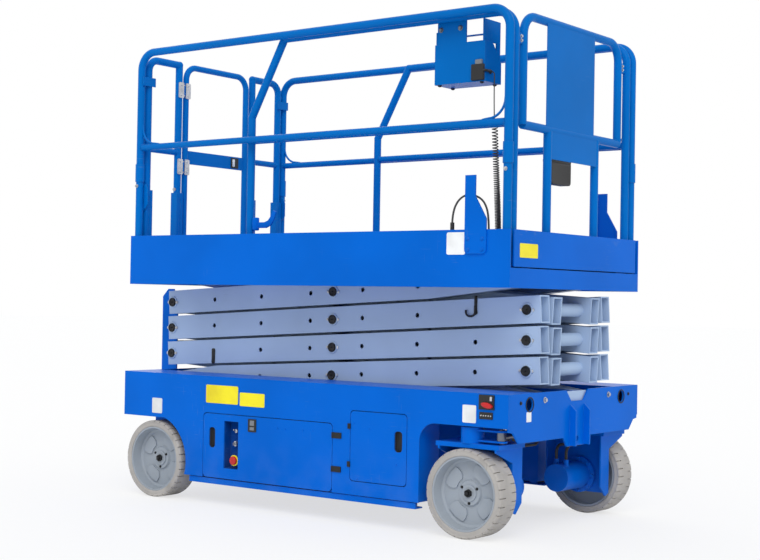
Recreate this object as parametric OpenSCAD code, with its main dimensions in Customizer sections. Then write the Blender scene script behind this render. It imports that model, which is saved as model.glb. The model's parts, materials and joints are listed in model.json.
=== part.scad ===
// Electric slab scissor lift: steered, self-propelled chassis, four-stage
// scissor stack and a guarded platform with a roll-out extension deck.
// Millimetres. +X is the steered front, +Y the left side, +Z up.
// The origin is on the floor, under the middle of the overall box.

/* [Overall] */
// Overall width over the tyres
overall_w = 1170; // [1150:2:1250]
// Guardrail height above the extension deck's floor
guard_h = 1100; // [1000:10:1200]

/* [Chassis] */
// Length of the chassis between its front and rear faces
chassis_l = 2300; // [2280:5:2320]
// Height of the chassis top
chassis_top = 620; // [600:5:660]
// Underside of the equipment bays
bay_bottom = 130; // [115:5:150]
// Sheet thickness of the chassis
sheet = 6; // [4:1:8]
// How far the skirts sit inside the tyres' outer faces
skirt_inset = 7; // [7:1:12]
// Half width of the well that the scissor stack folds into
well_half = 345; // [340:1:360]
// Projection of the front tow ears
ear_out = 30; // [15:1:50]
// Projection of the ladder behind the chassis
ladder_out = 110; // [90:2:140]

/* [Wheels] */
// Rear axle in front of the chassis rear face
rear_overhang = 224; // [215:1:240]
// Front axle behind the chassis front face
front_overhang = 216; // [205:1:230]
// Tyre diameter
tyre_d = 381; // [370:1:384]
// Tyre width
tyre_w = 127; // [110:1:132]
// Rubber thickness
tyre_t = 31; // [25:1:40]
// Depth of the wheel's dish
dish_depth = 58; // [40:1:66]
// Gap round the steered wheel's plates
steer_gap = 29; // [24:1:34]

/* [Scissor stack] */
// Rear pins in front of the chassis rear face
pin_rear = 63; // [60:1:90]
// Stowed front pins behind the chassis front face
pin_front = 81; // [76:1:110]
// Height gained by one stage, stowed
stage_pitch = 132.5; // [130:0.5:138]
// Arm tube height
tube_h = 120; // [110:1:122]
// Arm tube width
tube_w = 76; // [66:1:80]
// Arm tube wall
tube_wall = 6; // [4:0.5:8]
// Gap between outer and inner arms
arm_gap = 26; // [22:1:30]
// Outer face of the outer arms from the centre line
stack_half = 309; // [300:1:312]
// Pivot pin diameter
pin_d = 38; // [30:1:44]
// Height of the bottom pins under the chassis top
pin_drop = 45; // [42:1:50]
// Cross tube diameter
cross_d = 60; // [52:1:66]

/* [Platform] */
// How much shorter the main deck is than the chassis
deck_short = 25; // [15:1:30]
// Main deck width
deck_w = 1150; // [1120:2:1160]
// Toe board height above the main floor
toe_h = 162; // [150:1:200]
// Depth of the deck's side panels below the main floor
deck_drop = 83; // [75:1:84]
// Deck sheet thickness
deck_t = 6; // [4:1:8]
// Guardrail tube diameter
rail_d = 38; // [32:1:42]
// Mid rail tube diameter
mid_d = 32; // [26:1:36]
// Mid rail under the top of the guardrail
mid_drop = 501; // [450:1:550]
// Bend radius of the guardrail tubes
bend_r = 86; // [70:1:110]

/* [Doors and gate] */
// Rear bay door in front of the end of its bay
door_inset = 116.5; // [60:0.5:160]
// Length of the front bay door
hatch_l = 310; // [260:5:330]
// Gap round a door
door_gap = 3; // [2:0.5:5]
// Gate width between post centres
gate_w = 464; // [400:2:480]

/* [Hidden] */
$fn = 48;
fit = 0.3;           // gap where a moving piece seats
pin_fit = 0.2;       // radial gap of a pin in the arm that carries it
run_fit = 0.5;       // radial gap of a pin in the arm that turns on it

// Stations along the length
overall_l = ear_out + chassis_l + ladder_out;
arm_span = chassis_l - pin_rear - pin_front;
deck_l = chassis_l - deck_short;
x_front = overall_l / 2 - ear_out;
x_rear = x_front - chassis_l;
x_fa = x_front - front_overhang;
x_ra = x_rear + rear_overhang;
x_pr = x_rear + pin_rear;
x_pf = x_pr + arm_span;
deck_front = x_front - 5;
deck_rear = deck_front - deck_l;
post_set = 30;                              // rear posts in front of the deck's end

// Heights
z_axle = tyre_d / 2;
z_pin = chassis_top - pin_drop;
z_deck_pin = z_pin + 4 * stage_pitch;
end_r = 30;                                 // round end of an arm on chassis or deck
floor_under = z_deck_pin + end_r + 5;
floor_top = floor_under + deck_t;
ext_pad = 6;
ext_t = 8;
ext_top = floor_top + ext_pad + ext_t;
rail_top = ext_top + guard_h;
z_rail = rail_top - rail_d / 2;
z_mid = rail_top - mid_drop;
deck_under = floor_top - deck_drop;
toe_top = floor_top + toe_h;

// Widths
y_skirt = overall_w / 2 - skirt_inset;
y_plate = y_skirt - sheet;                  // half width of the front and rear plates
y_tyre = overall_w / 2 - tyre_w / 2;        // middle of a tyre
y_outer = stack_half - tube_w / 2;          // middle of an outer arm
y_inner = y_outer - tube_w - arm_gap;       // middle of an inner arm
inner_in = y_inner - tube_w / 2;            // inner face of an inner arm
y_panel = deck_w / 2 - deck_t;              // inner face of a deck side panel
y_rail = y_panel - rail_d / 2 - fit;
slide_gap = 5;                              // gap of the extension beside the side rails
ext_side = y_rail - rail_d / 2 - slide_gap; // half width of the extension's floor
stringer = 4;
y_ext = ext_side - stringer - 1 - rail_d / 2;

// Steering
front_under = 478;                          // edge of the skirts over the steered wheels
ceiling = front_under + 2;                  // underside of the plate over the steered wheels
y_king = y_tyre - 6.5;                      // king pin axis, over the tyre
yoke_top = front_under - 74;                // top of the yoke's plate
yoke_in = y_tyre - tyre_w / 2 - steer_gap;  // outer face of the yoke's upright
arm_out = 145;                              // steering arm length
z_steer = (yoke_top + front_under - 6) / 2;

// Scissor angles
arm_a = atan(stage_pitch / arm_span);
arm_l = sqrt(pow(arm_span, 2) + pow(stage_pitch, 2));

// Paint
blue = [0.02, 0.33, 0.78];
dark_blue = [0.01, 0.16, 0.42];
arm_grey = [0.62, 0.65, 0.74];
steel = [0.35, 0.36, 0.38];
tyre_grey = [0.72, 0.71, 0.69];
rim_grey = [0.58, 0.61, 0.64];
black = [0.05, 0.05, 0.06];

// Shared shapes

// Both sides: the child is drawn for the right side (-Y) and mirrored to the left.
module both_sides() {
    children();
    mirror([0, 1, 0]) children();
}

// Left side only, drawn from the right-hand shape.
module left_of() { mirror([0, 1, 0]) children(); }

// A plate lying in the XZ plane between two depths in Y.
module xz_plate(y0, y1) {
    translate([0, y1, 0]) rotate([90, 0, 0]) linear_extrude(y1 - y0) children();
}

// A plate lying in the YZ plane between two stations in X.
module yz_plate(x0, x1) {
    translate([x0, 0, 0]) rotate([90, 0, 90]) linear_extrude(x1 - x0) children();
}

// A box from its low and high corners.
module span(lo, hi) { translate(lo) cube(hi - lo); }

// A round bar across Y between two depths.
module y_bar(x, z, y0, y1, d) {
    translate([x, y1, z]) rotate([90, 0, 0]) cylinder(h = y1 - y0, d = d);
}

// A round bar along Z.
module z_bar(x, y, z0, z1, d) { translate([x, y, z0]) cylinder(h = z1 - z0, d = d); }

// A rectangle with round corners, by its low corner and size.
module soft_rect(lo, size, r) {
    translate(lo) union() {
        translate([r, 0]) square([size[0] - 2 * r, size[1]]);
        translate([0, r]) square([size[0], size[1] - 2 * r]);
        for (x = [r, size[0] - r], y = [r, size[1] - r]) translate([x, y]) circle(r);
    }
}

// A hoop of tube in the plane of its two directions: up one post, round a bend,
// along the top, round a bend and down the other post. u is the direction along the
// top (angle about Z), drawn in the local XZ plane.
module hoop(w, z0, z1, d, r) {
    for (s = [0, 1]) {
        translate([s * w, 0, z0]) cylinder(h = z1 - r - z0, d = d);
        translate([r + s * (w - 2 * r), 0, z1 - r]) rotate([90, 0, 0]) rotate([0, 0, 90 - 90 * s])
            rotate_extrude(angle = 90) translate([r, 0]) circle(d = d);
    }
    translate([r, 0, z1]) rotate([0, 90, 0]) cylinder(h = w - 2 * r, d = d);
}

// Chassis

arch_r = tyre_d / 2 + 28;                   // rear wheel arch
front_edge = x_fa - 234;                    // front edge of the bays
rear_under = z_axle + arch_r - 10;          // underside over the rear wheels
bay_rear = x_ra + arch_r + 2;
bay_front = front_edge - 2;
bay_in = yoke_in - 5;                       // inner wall of a bay from the centre line
well_floor = z_pin - 95;

// Side view of a skirt.
module skirt_outline() {
    corner = 80;
    difference() {
        translate([x_rear, bay_bottom]) square([x_front - x_rear, chassis_top - bay_bottom]);
        translate([x_rear - 1, bay_bottom - 1]) square([x_ra - x_rear + 1, rear_under - bay_bottom + 1]);
        intersection() {
            translate([x_ra, z_axle]) circle(arch_r, $fn = 96);
            translate([x_ra - 1, bay_bottom - 1]) square([arch_r + 2, rear_under - bay_bottom + 1]);
        }
        translate([front_edge + corner, bay_bottom - 1])
            square([x_front - front_edge, front_under - bay_bottom + 1]);
        translate([front_edge, bay_bottom - 1])
            square([corner + 1, front_under - corner - bay_bottom + 1]);
        translate([front_edge + corner, front_under - corner]) circle(corner);
    }
}

// Rear bay door: low corner and size in the side view.
door_l = front_edge - 484 - bay_rear - door_inset;
door_lo = [front_edge - 484 - door_l, bay_bottom + 2];
door_size = [door_l, 308];
// Front bay door.
hatch_lo = [front_edge - 68 - hatch_l, bay_bottom + 64];
hatch_size = [hatch_l, 311];

hinge_out = 3.2;                            // hinge line outside the skirt

module door_outline(grow) {
    translate([-grow, -grow]) soft_rect(door_lo, door_size + [2 * grow, 2 * grow], 22);
}

module hatch_outline(grow) {
    translate([-grow, -grow]) soft_rect(hatch_lo, hatch_size + [2 * grow, 2 * grow], 18);
}

// One side of the chassis: skirt, top ledge, equipment bay and wheel housings.
module chassis_side() {
    y_out = -y_skirt;
    color(blue) union() {
        difference() {
            xz_plate(y_out, y_out + sheet) skirt_outline();
            xz_plate(y_out - 1, y_out + sheet + 1) {
                door_outline(door_gap);
                translate([door_lo[0] - door_gap, bay_bottom - 1]) square([door_l + 2 * door_gap, 60]);
                hatch_outline(door_gap);
            }
        }
        // top ledge
        span([x_rear + 8, y_out + 1, chassis_top - sheet], [x_front - 8, -well_half - sheet, chassis_top]);
        // ceilings over the wheels
        span([x_rear + 8, y_out + 1, rear_under + 3],
             [bay_rear + 1, -well_half - sheet, rear_under + 3 + sheet]);
        span([bay_front - 1, y_out + 1, ceiling], [x_front - 8, -well_half - sheet, ceiling + sheet]);
        // equipment bay: floor, inner wall and ends
        span([bay_rear, y_out + sheet + 4, bay_bottom + 1], [bay_front, -bay_in, bay_bottom + 1 + sheet]);
        span([bay_rear, -bay_in - sheet, bay_bottom + 1], [bay_front, -bay_in, chassis_top - 1]);
        span([bay_rear, y_out + 1, bay_bottom + 1], [bay_rear + sheet, -bay_in, chassis_top - 1]);
        span([bay_front - sheet, y_out + 1, bay_bottom + 1], [bay_front, -bay_in, chassis_top - 1]);
        // rear wheel housing wall that carries the axle
        span([x_ra - 150, -yoke_in, z_axle - 60], [bay_rear + 3, -yoke_in + 12, rear_under + 4]);
        for (x = [x_ra - 150, x_ra + 120])
            span([x, -yoke_in + 1, z_axle - 59], [x + 10, -well_half - sheet, rear_under + 4]);
    }
}

// Front plate seen from the front.
module front_plate_outline() {
    low = front_under - 66;
    polygon([
        [-y_plate, chassis_top], [-100, chassis_top], [-55, chassis_top - 49], [55, chassis_top - 49],
        [100, chassis_top], [y_plate, chassis_top], [y_plate, front_under - 15], [y_plate - 34, front_under - 20],
        [y_plate - 79, low], [120, low], [90, low - 40], [-90, low - 40], [-120, low],
        [-y_plate + 79, low], [-y_plate + 34, front_under - 20], [-y_plate, front_under - 15]
    ]);
}

tie_hole_d = 56;

module chassis_centre() {
    plate = 8;
    track_in = 64;
    track_out = inner_in - 9;
    track_lo = x_pr + arm_span * 0.5;
    lug_top = 36;
    color(blue) union() {
        // front plate with tie-down holes
        difference() {
            yz_plate(x_front - plate, x_front) front_plate_outline();
            for (s = [-1, 1]) translate([x_front - plate - 1, s * 410, chassis_top - 48])
                rotate([0, 90, 0]) cylinder(h = plate + 2, d = tie_hole_d);
            translate([x_front - plate - 1, 0, front_under - 75]) rotate([0, 90, 0])
                cylinder(h = plate + 2, d = 26);
        }
        // tow ears
        for (s = [-1, 1]) translate([0, s * 62 - 5, 0]) xz_plate(0, 10)
            polygon([[x_front - 1, chassis_top - 62], [x_front + ear_out, chassis_top - 62 - ear_out],
                     [x_front + ear_out, front_under - 104], [x_front - 1, front_under - 104]]);
        // rear plate
        span([x_rear, -y_plate, rear_under], [x_rear + plate, y_plate, chassis_top]);
        // well: floor and walls
        span([x_rear + 1, -well_half - sheet, well_floor - 8], [x_front - 1, well_half + sheet, well_floor]);
        for (s = [-1, 1]) span([x_rear + 1, s > 0 ? well_half : -well_half - sheet, well_floor - 8],
                               [x_front - 1, s > 0 ? well_half + sheet : -well_half, chassis_top]);
        // tracks for the rollers of the lowest inner arms
        both_sides() union() {
            span([track_lo, -track_in - sheet, well_floor - 1], [x_front - 20, -track_in, z_pin + 34]);
            for (z = [z_pin - 34, z_pin + 28])
                span([track_lo, -track_out, z], [x_front - 20, -track_in, z + 6]);
        }
        // rear pivot lugs
        both_sides() for (y = [-y_outer - tube_w / 2 - 21, -y_outer + tube_w / 2 + 7])
            difference() {
                xz_plate(y, y + 12) {
                    translate([x_pr, z_pin]) circle(lug_top);
                    translate([x_pr - lug_top, well_floor - 1])
                        square([2 * lug_top + 60, z_pin - well_floor + 1]);
                }
                y_bar(x_pr, z_pin, y - 1, y + 13, pin_d + 2 * run_fit);
            }
        // bracket that holds the steering cylinder under the well
        for (y = [20, 220]) span([x_fa + 6, y, z_steer + 23 + fit], [x_fa + 46, y + 30, well_floor - 7]);
    }
}

module rear_axles() {
    color(steel) both_sides() union() {
        y_bar(x_ra, z_axle, -y_tyre - 4, -yoke_in - fit, 60);
        y_bar(x_ra, z_axle, -yoke_in - 14, -yoke_in - fit, 116);
    }
}

module king_pins() {
    color(steel) both_sides() z_bar(x_fa, -y_king, yoke_top - 20, ceiling - fit, 44);
}

module pothole_guards() {
    color(blue) both_sides() union() {
        span([bay_rear + 20, -y_skirt + 6, bay_bottom - 30],
             [front_edge - 20, -y_skirt + 18, bay_bottom - 3]);
        span([bay_rear + 20, -y_skirt + 6, bay_bottom - 30],
             [front_edge - 20, -y_skirt + 60, bay_bottom - 24]);
        for (x = [bay_rear + 90, (bay_rear + front_edge) / 2, front_edge - 90])
            span([x - 20, -y_skirt + 40, bay_bottom - 30], [x + 20, -y_skirt + 52, bay_bottom - fit]);
    }
}

module ladder() {
    half = 215;
    depth = overall_l / 2 + x_rear;
    rail_t = 8;
    top = deck_under - 20;
    color(blue) union() {
        both_sides() translate([0, -half, 0]) xz_plate(0, rail_t) polygon([
            [x_rear - fit, top - 70], [x_rear - fit, z_axle + 60], [-overall_l / 2 + 25, z_axle + 60],
            [-overall_l / 2, z_axle + 90], [-overall_l / 2, top - 40], [-overall_l / 2 + 40, top],
            [x_rear - 30, top]
        ]);
        for (z = [z_axle + 95 : 225 : top - 60])
            difference() {
                span([-overall_l / 2 + 12, -half + 1, z], [x_rear - 22, half - 1, z + 28]);
                span([-overall_l / 2 + 16, -half - 1, z - 1], [x_rear - 26, half + 1, z + 24]);
            }
        span([x_rear - 6 - fit, -half + 1, rear_under + 40], [x_rear - fit, half - 1, rear_under + 110]);
    }
}

module power_packs() {
    pack_in = bay_in + 14;
    pack_low = bay_bottom + 1 + sheet + fit;
    color(black) union() {
        // batteries on the left, hydraulic power unit on the right
        translate([bay_rear + 60, pack_in, pack_low]) cube([640, 125, 253]);
        translate([bay_rear + 380, -pack_in - 110, pack_low]) cube([420, 110, 243]);
    }
}

module side_sockets() {
    color(black) union() {
        span([x_front - 143, -y_skirt - 6, chassis_top - 67],
             [x_front - 68, -y_skirt - fit, chassis_top - 5]);
        span([x_front - 141, -y_skirt - 4, chassis_top - 107],
             [x_front - 75, -y_skirt - fit, chassis_top - 78]);
    }
}

// Steering

module yoke() {
    t = 8;
    fwd = 148;
    low = z_axle - 80;
    color(blue) difference() {
        union() {
            // top plate over the tyre
            span([x_fa - fwd - 12, -y_tyre - 38, yoke_top - 20], [x_fa + fwd + 12, -yoke_in + 78, yoke_top]);
            // upright
            span([x_fa - fwd, -yoke_in, low], [x_fa + fwd, -yoke_in + t, yoke_top - 19]);
            // front and rear flanges with gussets over the tyre
            for (x = [x_fa - fwd, x_fa + fwd - t]) yz_plate(x, x + t)
                polygon([[-y_tyre - 38, yoke_top - 19], [-y_tyre - 38, yoke_top - 32], [-yoke_in, yoke_top - 84],
                         [-yoke_in, low + 2], [-yoke_in + 30, low - 10], [-yoke_in + 78, low + 35],
                         [-yoke_in + 78, yoke_top - 19]]);
            // king pin housing
            z_bar(x_fa, -y_king, yoke_top - 1, ceiling - 8, 100);
            // steering arm: two plates
            for (z = [z_steer - 26, z_steer + 18]) translate([0, 0, z]) linear_extrude(8) {
                translate([x_fa, -y_king - 26]) square([arm_out, 52]);
                translate([x_fa + arm_out, -y_king]) circle(26);
            }
        }
        z_bar(x_fa, -y_king, yoke_top - 21, ceiling, 44 + 2 * run_fit);
        z_bar(x_fa + arm_out, -y_king, z_steer - 40, z_steer + 40, 20 + 2 * run_fit);
        y_bar(x_fa, z_axle, -yoke_in - 1, -yoke_in + t + 1, 90);
    }
}

module drive_motor() {
    color(dark_blue) union() {
        y_bar(x_fa, z_axle, -yoke_in + 8 + fit, -yoke_in + 30, 170);
        y_bar(x_fa, z_axle, -yoke_in + 29, -yoke_in + 236, 128);
        y_bar(x_fa, z_axle, -y_tyre - 4, -yoke_in + 30, 60);
        for (a = [0 : 45 : 315])
            y_bar(x_fa + 76 * cos(a), z_axle + 76 * sin(a), -yoke_in + 29, -yoke_in + 40, 16);
        // hose ports
        for (x = [-26, 26]) z_bar(x_fa + x, -yoke_in + 190, z_axle, z_axle + 84, 24);
    }
}

module tie_rod() {
    color(steel) union() {
        y_bar(x_fa + arm_out, z_steer, -y_king, y_king, 28);
        both_sides() union() {
            z_bar(x_fa + arm_out, -y_king, z_steer - 17, z_steer + 17, 40);
            z_bar(x_fa + arm_out, -y_king, z_steer - 30, z_steer + 30, 20);
        }
        // ears that take the steering cylinder's rod
        for (z = [z_steer - 26, z_steer + 18]) span([x_fa + 12, -296, z], [x_fa + arm_out, -264, z + 8]);
        span([x_fa + arm_out - 18, -296, z_steer - 26], [x_fa + arm_out + 18, -264, z_steer + 26]);
    }
}

module steer_barrel() {
    color(dark_blue) difference() {
        y_bar(x_fa + 26, z_steer, -30, 270, 46);
        y_bar(x_fa + 26, z_steer, -31, 240, 24 + 2 * fit);
    }
}

module steer_rod() {
    color(steel) union() {
        y_bar(x_fa + 26, z_steer, -255, 125, 24);
        difference() {
            z_bar(x_fa + 26, -270, z_steer - 16, z_steer + 16, 44);
            z_bar(x_fa + 26, -270, z_steer - 17, z_steer + 17, 20);
        }
    }
}

// Wheels

rim_r = tyre_d / 2 - tyre_t;

// Wheel at the origin of its axle, outer face towards -Y, turned about Y.
module rim_body() {
    band = 10;
    disc_t = 16;
    hub_r = 58;
    half = tyre_w / 2 - 4;
    disc = -half + dish_depth;                 // outer face of the disc along the axle
    pad_r = 46;
    union() {
        rotate([90, 0, 0]) rotate_extrude($fn = 96) polygon([
            [30 + fit, -disc - disc_t - 24], [hub_r + 14, -disc - disc_t - 24], [hub_r + 20, -disc - disc_t],
            [rim_r - band - 6, -disc - disc_t], [rim_r - band, -disc - disc_t - 6], [rim_r - band, -half],
            [rim_r - 0.2, -half], [rim_r - 0.2, half], [rim_r - band + 2, half],
            [rim_r - band - 4, -disc + 8], [rim_r - band - 14, -disc], [hub_r, -disc],
            [hub_r - 6, -disc + 10], [30 + fit, -disc + 10]
        ]);
        // four raised pads on the disc
        for (i = [0 : 3]) rotate([0, i * 90 + 35, 0]) translate([0, disc + 1, 0]) rotate([90, 0, 0])
            linear_extrude(8) intersection() {
                difference() { circle(rim_r - band - 22); circle(hub_r + 12); }
                translate([(rim_r + hub_r) / 2 - 4, 0]) circle(pad_r);
            }
    }
}

module tyre_body() {
    round_r = 8;
    half = tyre_w / 2;
    rotate([90, 0, 0]) rotate_extrude($fn = 120) difference() {
        translate([rim_r, -half]) square([tyre_t, tyre_w]);
        for (s = [-1, 1]) translate([rim_r + tyre_t, s * half]) difference() {
            square(2 * round_r, center = true);
            translate([-round_r, -s * round_r]) circle(round_r);
        }
    }
}

module rim_at(x, side) {
    color(rim_grey) translate([x, side * y_tyre, z_axle]) mirror([0, side > 0 ? 1 : 0, 0]) rim_body();
}

module tyre_at(x, side) {
    color(tyre_grey) translate([x, side * y_tyre, z_axle]) tyre_body();
}

// Scissor stack

pin_head = 6;
long_taper = 520;
short_taper = 320;

// Side view of an arm along its own axis, from the rear pin at 0 to the front pin at
// arm_l. A taper of 0 leaves that end as an open tube, cut off past its pin.
module arm_outline(rear_taper, front_taper, inset) {
    h = tube_h / 2 - inset;
    rear_over = 29;
    front_over = 68;
    x0 = rear_taper > 0 ? rear_taper : -rear_over - (inset > 0 ? 1 : 0);
    x1 = front_taper > 0 ? arm_l - front_taper : arm_l + front_over + (inset > 0 ? 1 : 0);
    translate([x0, -h]) square([x1 - x0, 2 * h]);
    if (inset == 0 && rear_taper > 0) {
        polygon([[x0 + 1, h], [0, end_r], [0, -end_r], [x0 + 1, -h]]);
        circle(end_r);
    }
    if (inset == 0 && front_taper > 0) {
        polygon([[x1 - 1, -h], [arm_l, -end_r], [arm_l, end_r], [x1 - 1, h]]);
        translate([arm_l, 0]) circle(end_r);
    }
}

// One arm tube centred on y, with bosses and bores for its three pins.
module arm_tube(y, rear_taper, front_taper, bore) {
    boss_d = pin_d + 18;
    difference() {
        union() {
            difference() {
                xz_plate(y - tube_w / 2, y + tube_w / 2) arm_outline(rear_taper, front_taper, 0);
                xz_plate(y - tube_w / 2 + tube_wall, y + tube_w / 2 - tube_wall)
                    arm_outline(rear_taper, front_taper, tube_wall);
            }
            for (x = [0, arm_l / 2, arm_l]) y_bar(x, 0, y - tube_w / 2 + 1, y + tube_w / 2 - 1, boss_d);
        }
        for (x = [0, arm_l / 2, arm_l]) y_bar(x, 0, y - tube_w, y + tube_w, bore);
        for (k = [-2.5 : 1 : 2.5]) y_bar(arm_l / 2 + 17 + 319 * k, 0, y - tube_w, y + tube_w, 22);
    }
}

// Places an arm of a stage: outer arms rise to the front, inner arms fall to the front.
module outer_place(stage) {
    translate([x_pr, 0, z_pin + (stage - 1) * stage_pitch]) rotate([0, -arm_a, 0]) children();
}

module inner_place(stage) {
    translate([x_pr, 0, z_pin + stage * stage_pitch]) rotate([0, arm_a, 0]) children();
}

lift_s0 = 0.10;                               // lift cylinder's foot along the lowest outer arms
lift_s1 = 0.85;                               // rod eye along the second inner arms

module outer_arms(stage) {
    rear_taper = stage == 1 ? short_taper : 0;
    front_taper = stage == 4 ? long_taper : 0;
    color(arm_grey) outer_place(stage) union() {
        both_sides() arm_tube(-y_outer, rear_taper, front_taper, pin_d + 2 * pin_fit);
        if (stage == 1) {
            y_bar(lift_s0 * arm_l, 0, -y_outer + tube_w / 2 - 2, -42, cross_d);
            y_bar(lift_s0 * arm_l, 0, -43, 43, cross_d - 10);
            y_bar(lift_s0 * arm_l, 0, 42, y_outer - tube_w / 2 + 2, cross_d);
        }
    }
}

module inner_arms(stage) {
    rear_taper = stage == 4 ? long_taper : 0;
    front_taper = stage == 1 ? short_taper : 0;
    color(arm_grey) inner_place(stage) union() {
        both_sides() arm_tube(-y_inner, rear_taper, front_taper, pin_d + 2 * run_fit);
        ends = stage == 1 ? [0] : stage == 4 ? [arm_l] : [0, arm_l];
        for (x = ends) difference() {
            y_bar(x, 0, -inner_in - 2, inner_in + 2, cross_d);
            y_bar(x, 0, -inner_in - 3, inner_in + 3, cross_d - 14);
        }
        // stubs that hold the lift cylinder's rod eye
        if (stage == 2) both_sides() y_bar(lift_s1 * arm_l, 0, -inner_in - 2, -38, cross_d);
        // rollers of the lowest arms
        if (stage == 1) both_sides() union() {
            y_bar(arm_l, 0, -inner_in + 13, -inner_in + 55, 2 * 28 - 2 * fit);
            y_bar(arm_l, 0, -inner_in - tube_w + 4, -inner_in + 14, pin_d + 4);
        }
    }
}

// Pins that ride with the outer arms of a stage: rear, middle and front.
module arm_pins(stage) {
    head_y = y_outer + tube_w / 2 + pin_head;
    color(steel) outer_place(stage) both_sides() union() {
        y_bar(0, 0, -(stage == 1 ? y_outer + tube_w / 2 + 24 : head_y),
              stage == 1 ? -y_outer + tube_w / 2 + 22 : -inner_in + 4, pin_d);
        y_bar(arm_l / 2, 0, -head_y, -inner_in + 4, pin_d);
        if (stage < 4) y_bar(arm_l, 0, -head_y, -inner_in + 4, pin_d);
        if (stage == 4) {
            y_bar(arm_l, 0, -y_outer - tube_w / 2 - 52, -y_outer + tube_w / 2 + 4, pin_d);
            y_bar(arm_l, 0, -y_outer - tube_w / 2 - 52, -y_outer - tube_w / 2 - 10, 2 * 28 - 2 * fit);
        }
    }
}

// Lift cylinder

lift_p0 = [x_pr + lift_s0 * arm_span, z_pin + lift_s0 * stage_pitch];
lift_p1 = [x_pr + lift_s1 * arm_span, z_pin + (2 - lift_s1) * stage_pitch];
lift_l = norm(lift_p1 - lift_p0);
lift_a = atan2(lift_p1[1] - lift_p0[1], lift_p1[0] - lift_p0[0]);
barrel_l = 1090;
rod_d = 60;

module lift_place() {
    translate([lift_p0[0], 0, lift_p0[1]]) rotate([0, -lift_a, 0]) children();
}

module x_bar(x0, x1, d) { translate([x0, 0, 0]) rotate([0, 90, 0]) cylinder(h = x1 - x0, d = d); }

module lift_barrel() {
    color(steel) lift_place() difference() {
        union() {
            x_bar(cross_d / 2 + 6, barrel_l, 108);
            x_bar(barrel_l - 60, barrel_l + 20, 118);
            y_bar(0, 0, -40, 40, 92);
        }
        y_bar(0, 0, -41, 41, cross_d - 10 + 2 * run_fit);
        x_bar(480, barrel_l + 21, rod_d + 2 * fit);
    }
}

module lift_rod() {
    color([0.8, 0.8, 0.82]) lift_place() difference() {
        union() {
            x_bar(500, lift_l - 10, rod_d);
            y_bar(lift_l, 0, -32, 32, 86);
        }
        y_bar(lift_l, 0, -33, 33, 50);
    }
}

// Platform

module main_deck() {
    track_y = stack_half + 7;
    track_lo = x_pr + arm_span * 0.5;
    color(blue) union() {
        // floor
        span([deck_rear + 1, -y_panel - 1, floor_under], [deck_front - 1, y_panel + 1, floor_top]);
        // side panels and toe boards
        both_sides() span([deck_rear, -deck_w / 2, deck_under], [deck_front, -y_panel, toe_top]);
        // rear frame with toe boards beside the gate
        span([deck_rear, -deck_w / 2 + 1, deck_under], [deck_rear + deck_t, deck_w / 2 - 1, floor_top]);
        both_sides()
            span([deck_rear, -deck_w / 2 + 1, floor_under], [deck_rear + deck_t, -gate_w / 2 - 30, toe_top]);
        // front beam
        span([deck_front - 8, -deck_w / 2 + 1, deck_under], [deck_front, deck_w / 2 - 1, floor_top + 1]);
        // tracks for the rollers of the top outer arms
        both_sides() union() {
            span([track_lo, -track_y - 56, z_deck_pin - 34],
                 [deck_front - 20, -track_y - 50, floor_under + 1]);
            span([track_lo, -track_y - 56, z_deck_pin - 34], [deck_front - 20, -track_y, z_deck_pin - 28]);
        }
        // lugs for the top inner arms
        both_sides() for (y = [-y_inner - tube_w / 2 - 17, -y_inner + tube_w / 2 + 7]) difference() {
            xz_plate(y, y + 10) {
                translate([x_pr, z_deck_pin]) circle(30);
                translate([x_pr - 20, z_deck_pin]) square([120, floor_under - z_deck_pin + 1]);
            }
            y_bar(x_pr, z_deck_pin, y - 1, y + 11, pin_d + 2 * run_fit);
        }
        both_sides() y_bar(x_pr, z_deck_pin, -y_inner - tube_w / 2 - 18, -y_inner + tube_w / 2 + 18, pin_d);
    }
}

// Both side guardrails: a hoop with a mid rail.
module side_rails() {
    x0 = deck_rear + post_set;
    x1 = deck_front - 34;
    foot = floor_top + fit;
    color(blue) both_sides() translate([x0, -y_rail, 0]) union() {
        hoop(x1 - x0, foot, z_rail, rail_d, bend_r);
        translate([0, 0, z_mid]) rotate([0, 90, 0]) cylinder(h = x1 - x0, d = mid_d);
        // sleeves where the rails fold
        for (x = [0, x1 - x0]) translate([x, 0, z_mid - 175]) cylinder(h = 90, d = rail_d + 8);
        // fold bracket under the sleeve of the rear post
        xz_plate(16, 22) polygon([
            [-20, z_mid - 185], [-20, z_mid - 290], [4, z_mid - 330], [42, z_mid - 290],
            [42, z_mid - 215], [26, z_mid - 185]
        ]);
    }
}

u_out = y_rail - 48;                          // rear hoops: outer and inner posts
u_in = gate_w / 2 + 52;
x_gate = deck_rear + post_set;
hinge_x = x_gate + 12;
hinge_y = -(gate_w / 2 + 26);
z_hoop = z_rail - 22;
hinge_z = [1660, 2062];

// Hoop beside the gate: bent at its outer corner and mitred at its inner one.
module mitred_hoop(w, z0, z1, d, r) {
    translate([0, 0, z0]) cylinder(h = z1 - r - z0, d = d);
    translate([r, 0, z1 - r]) rotate([90, 0, 0]) rotate([0, 0, 90])
        rotate_extrude(angle = 90) translate([r, 0]) circle(d = d);
    translate([r, 0, z1]) rotate([0, 90, 0]) cylinder(h = w - r, d = d);
    translate([w, 0, z0]) cylinder(h = z1 - z0, d = d);
    translate([w, 0, z1]) sphere(d = d + 2);
}

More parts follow.
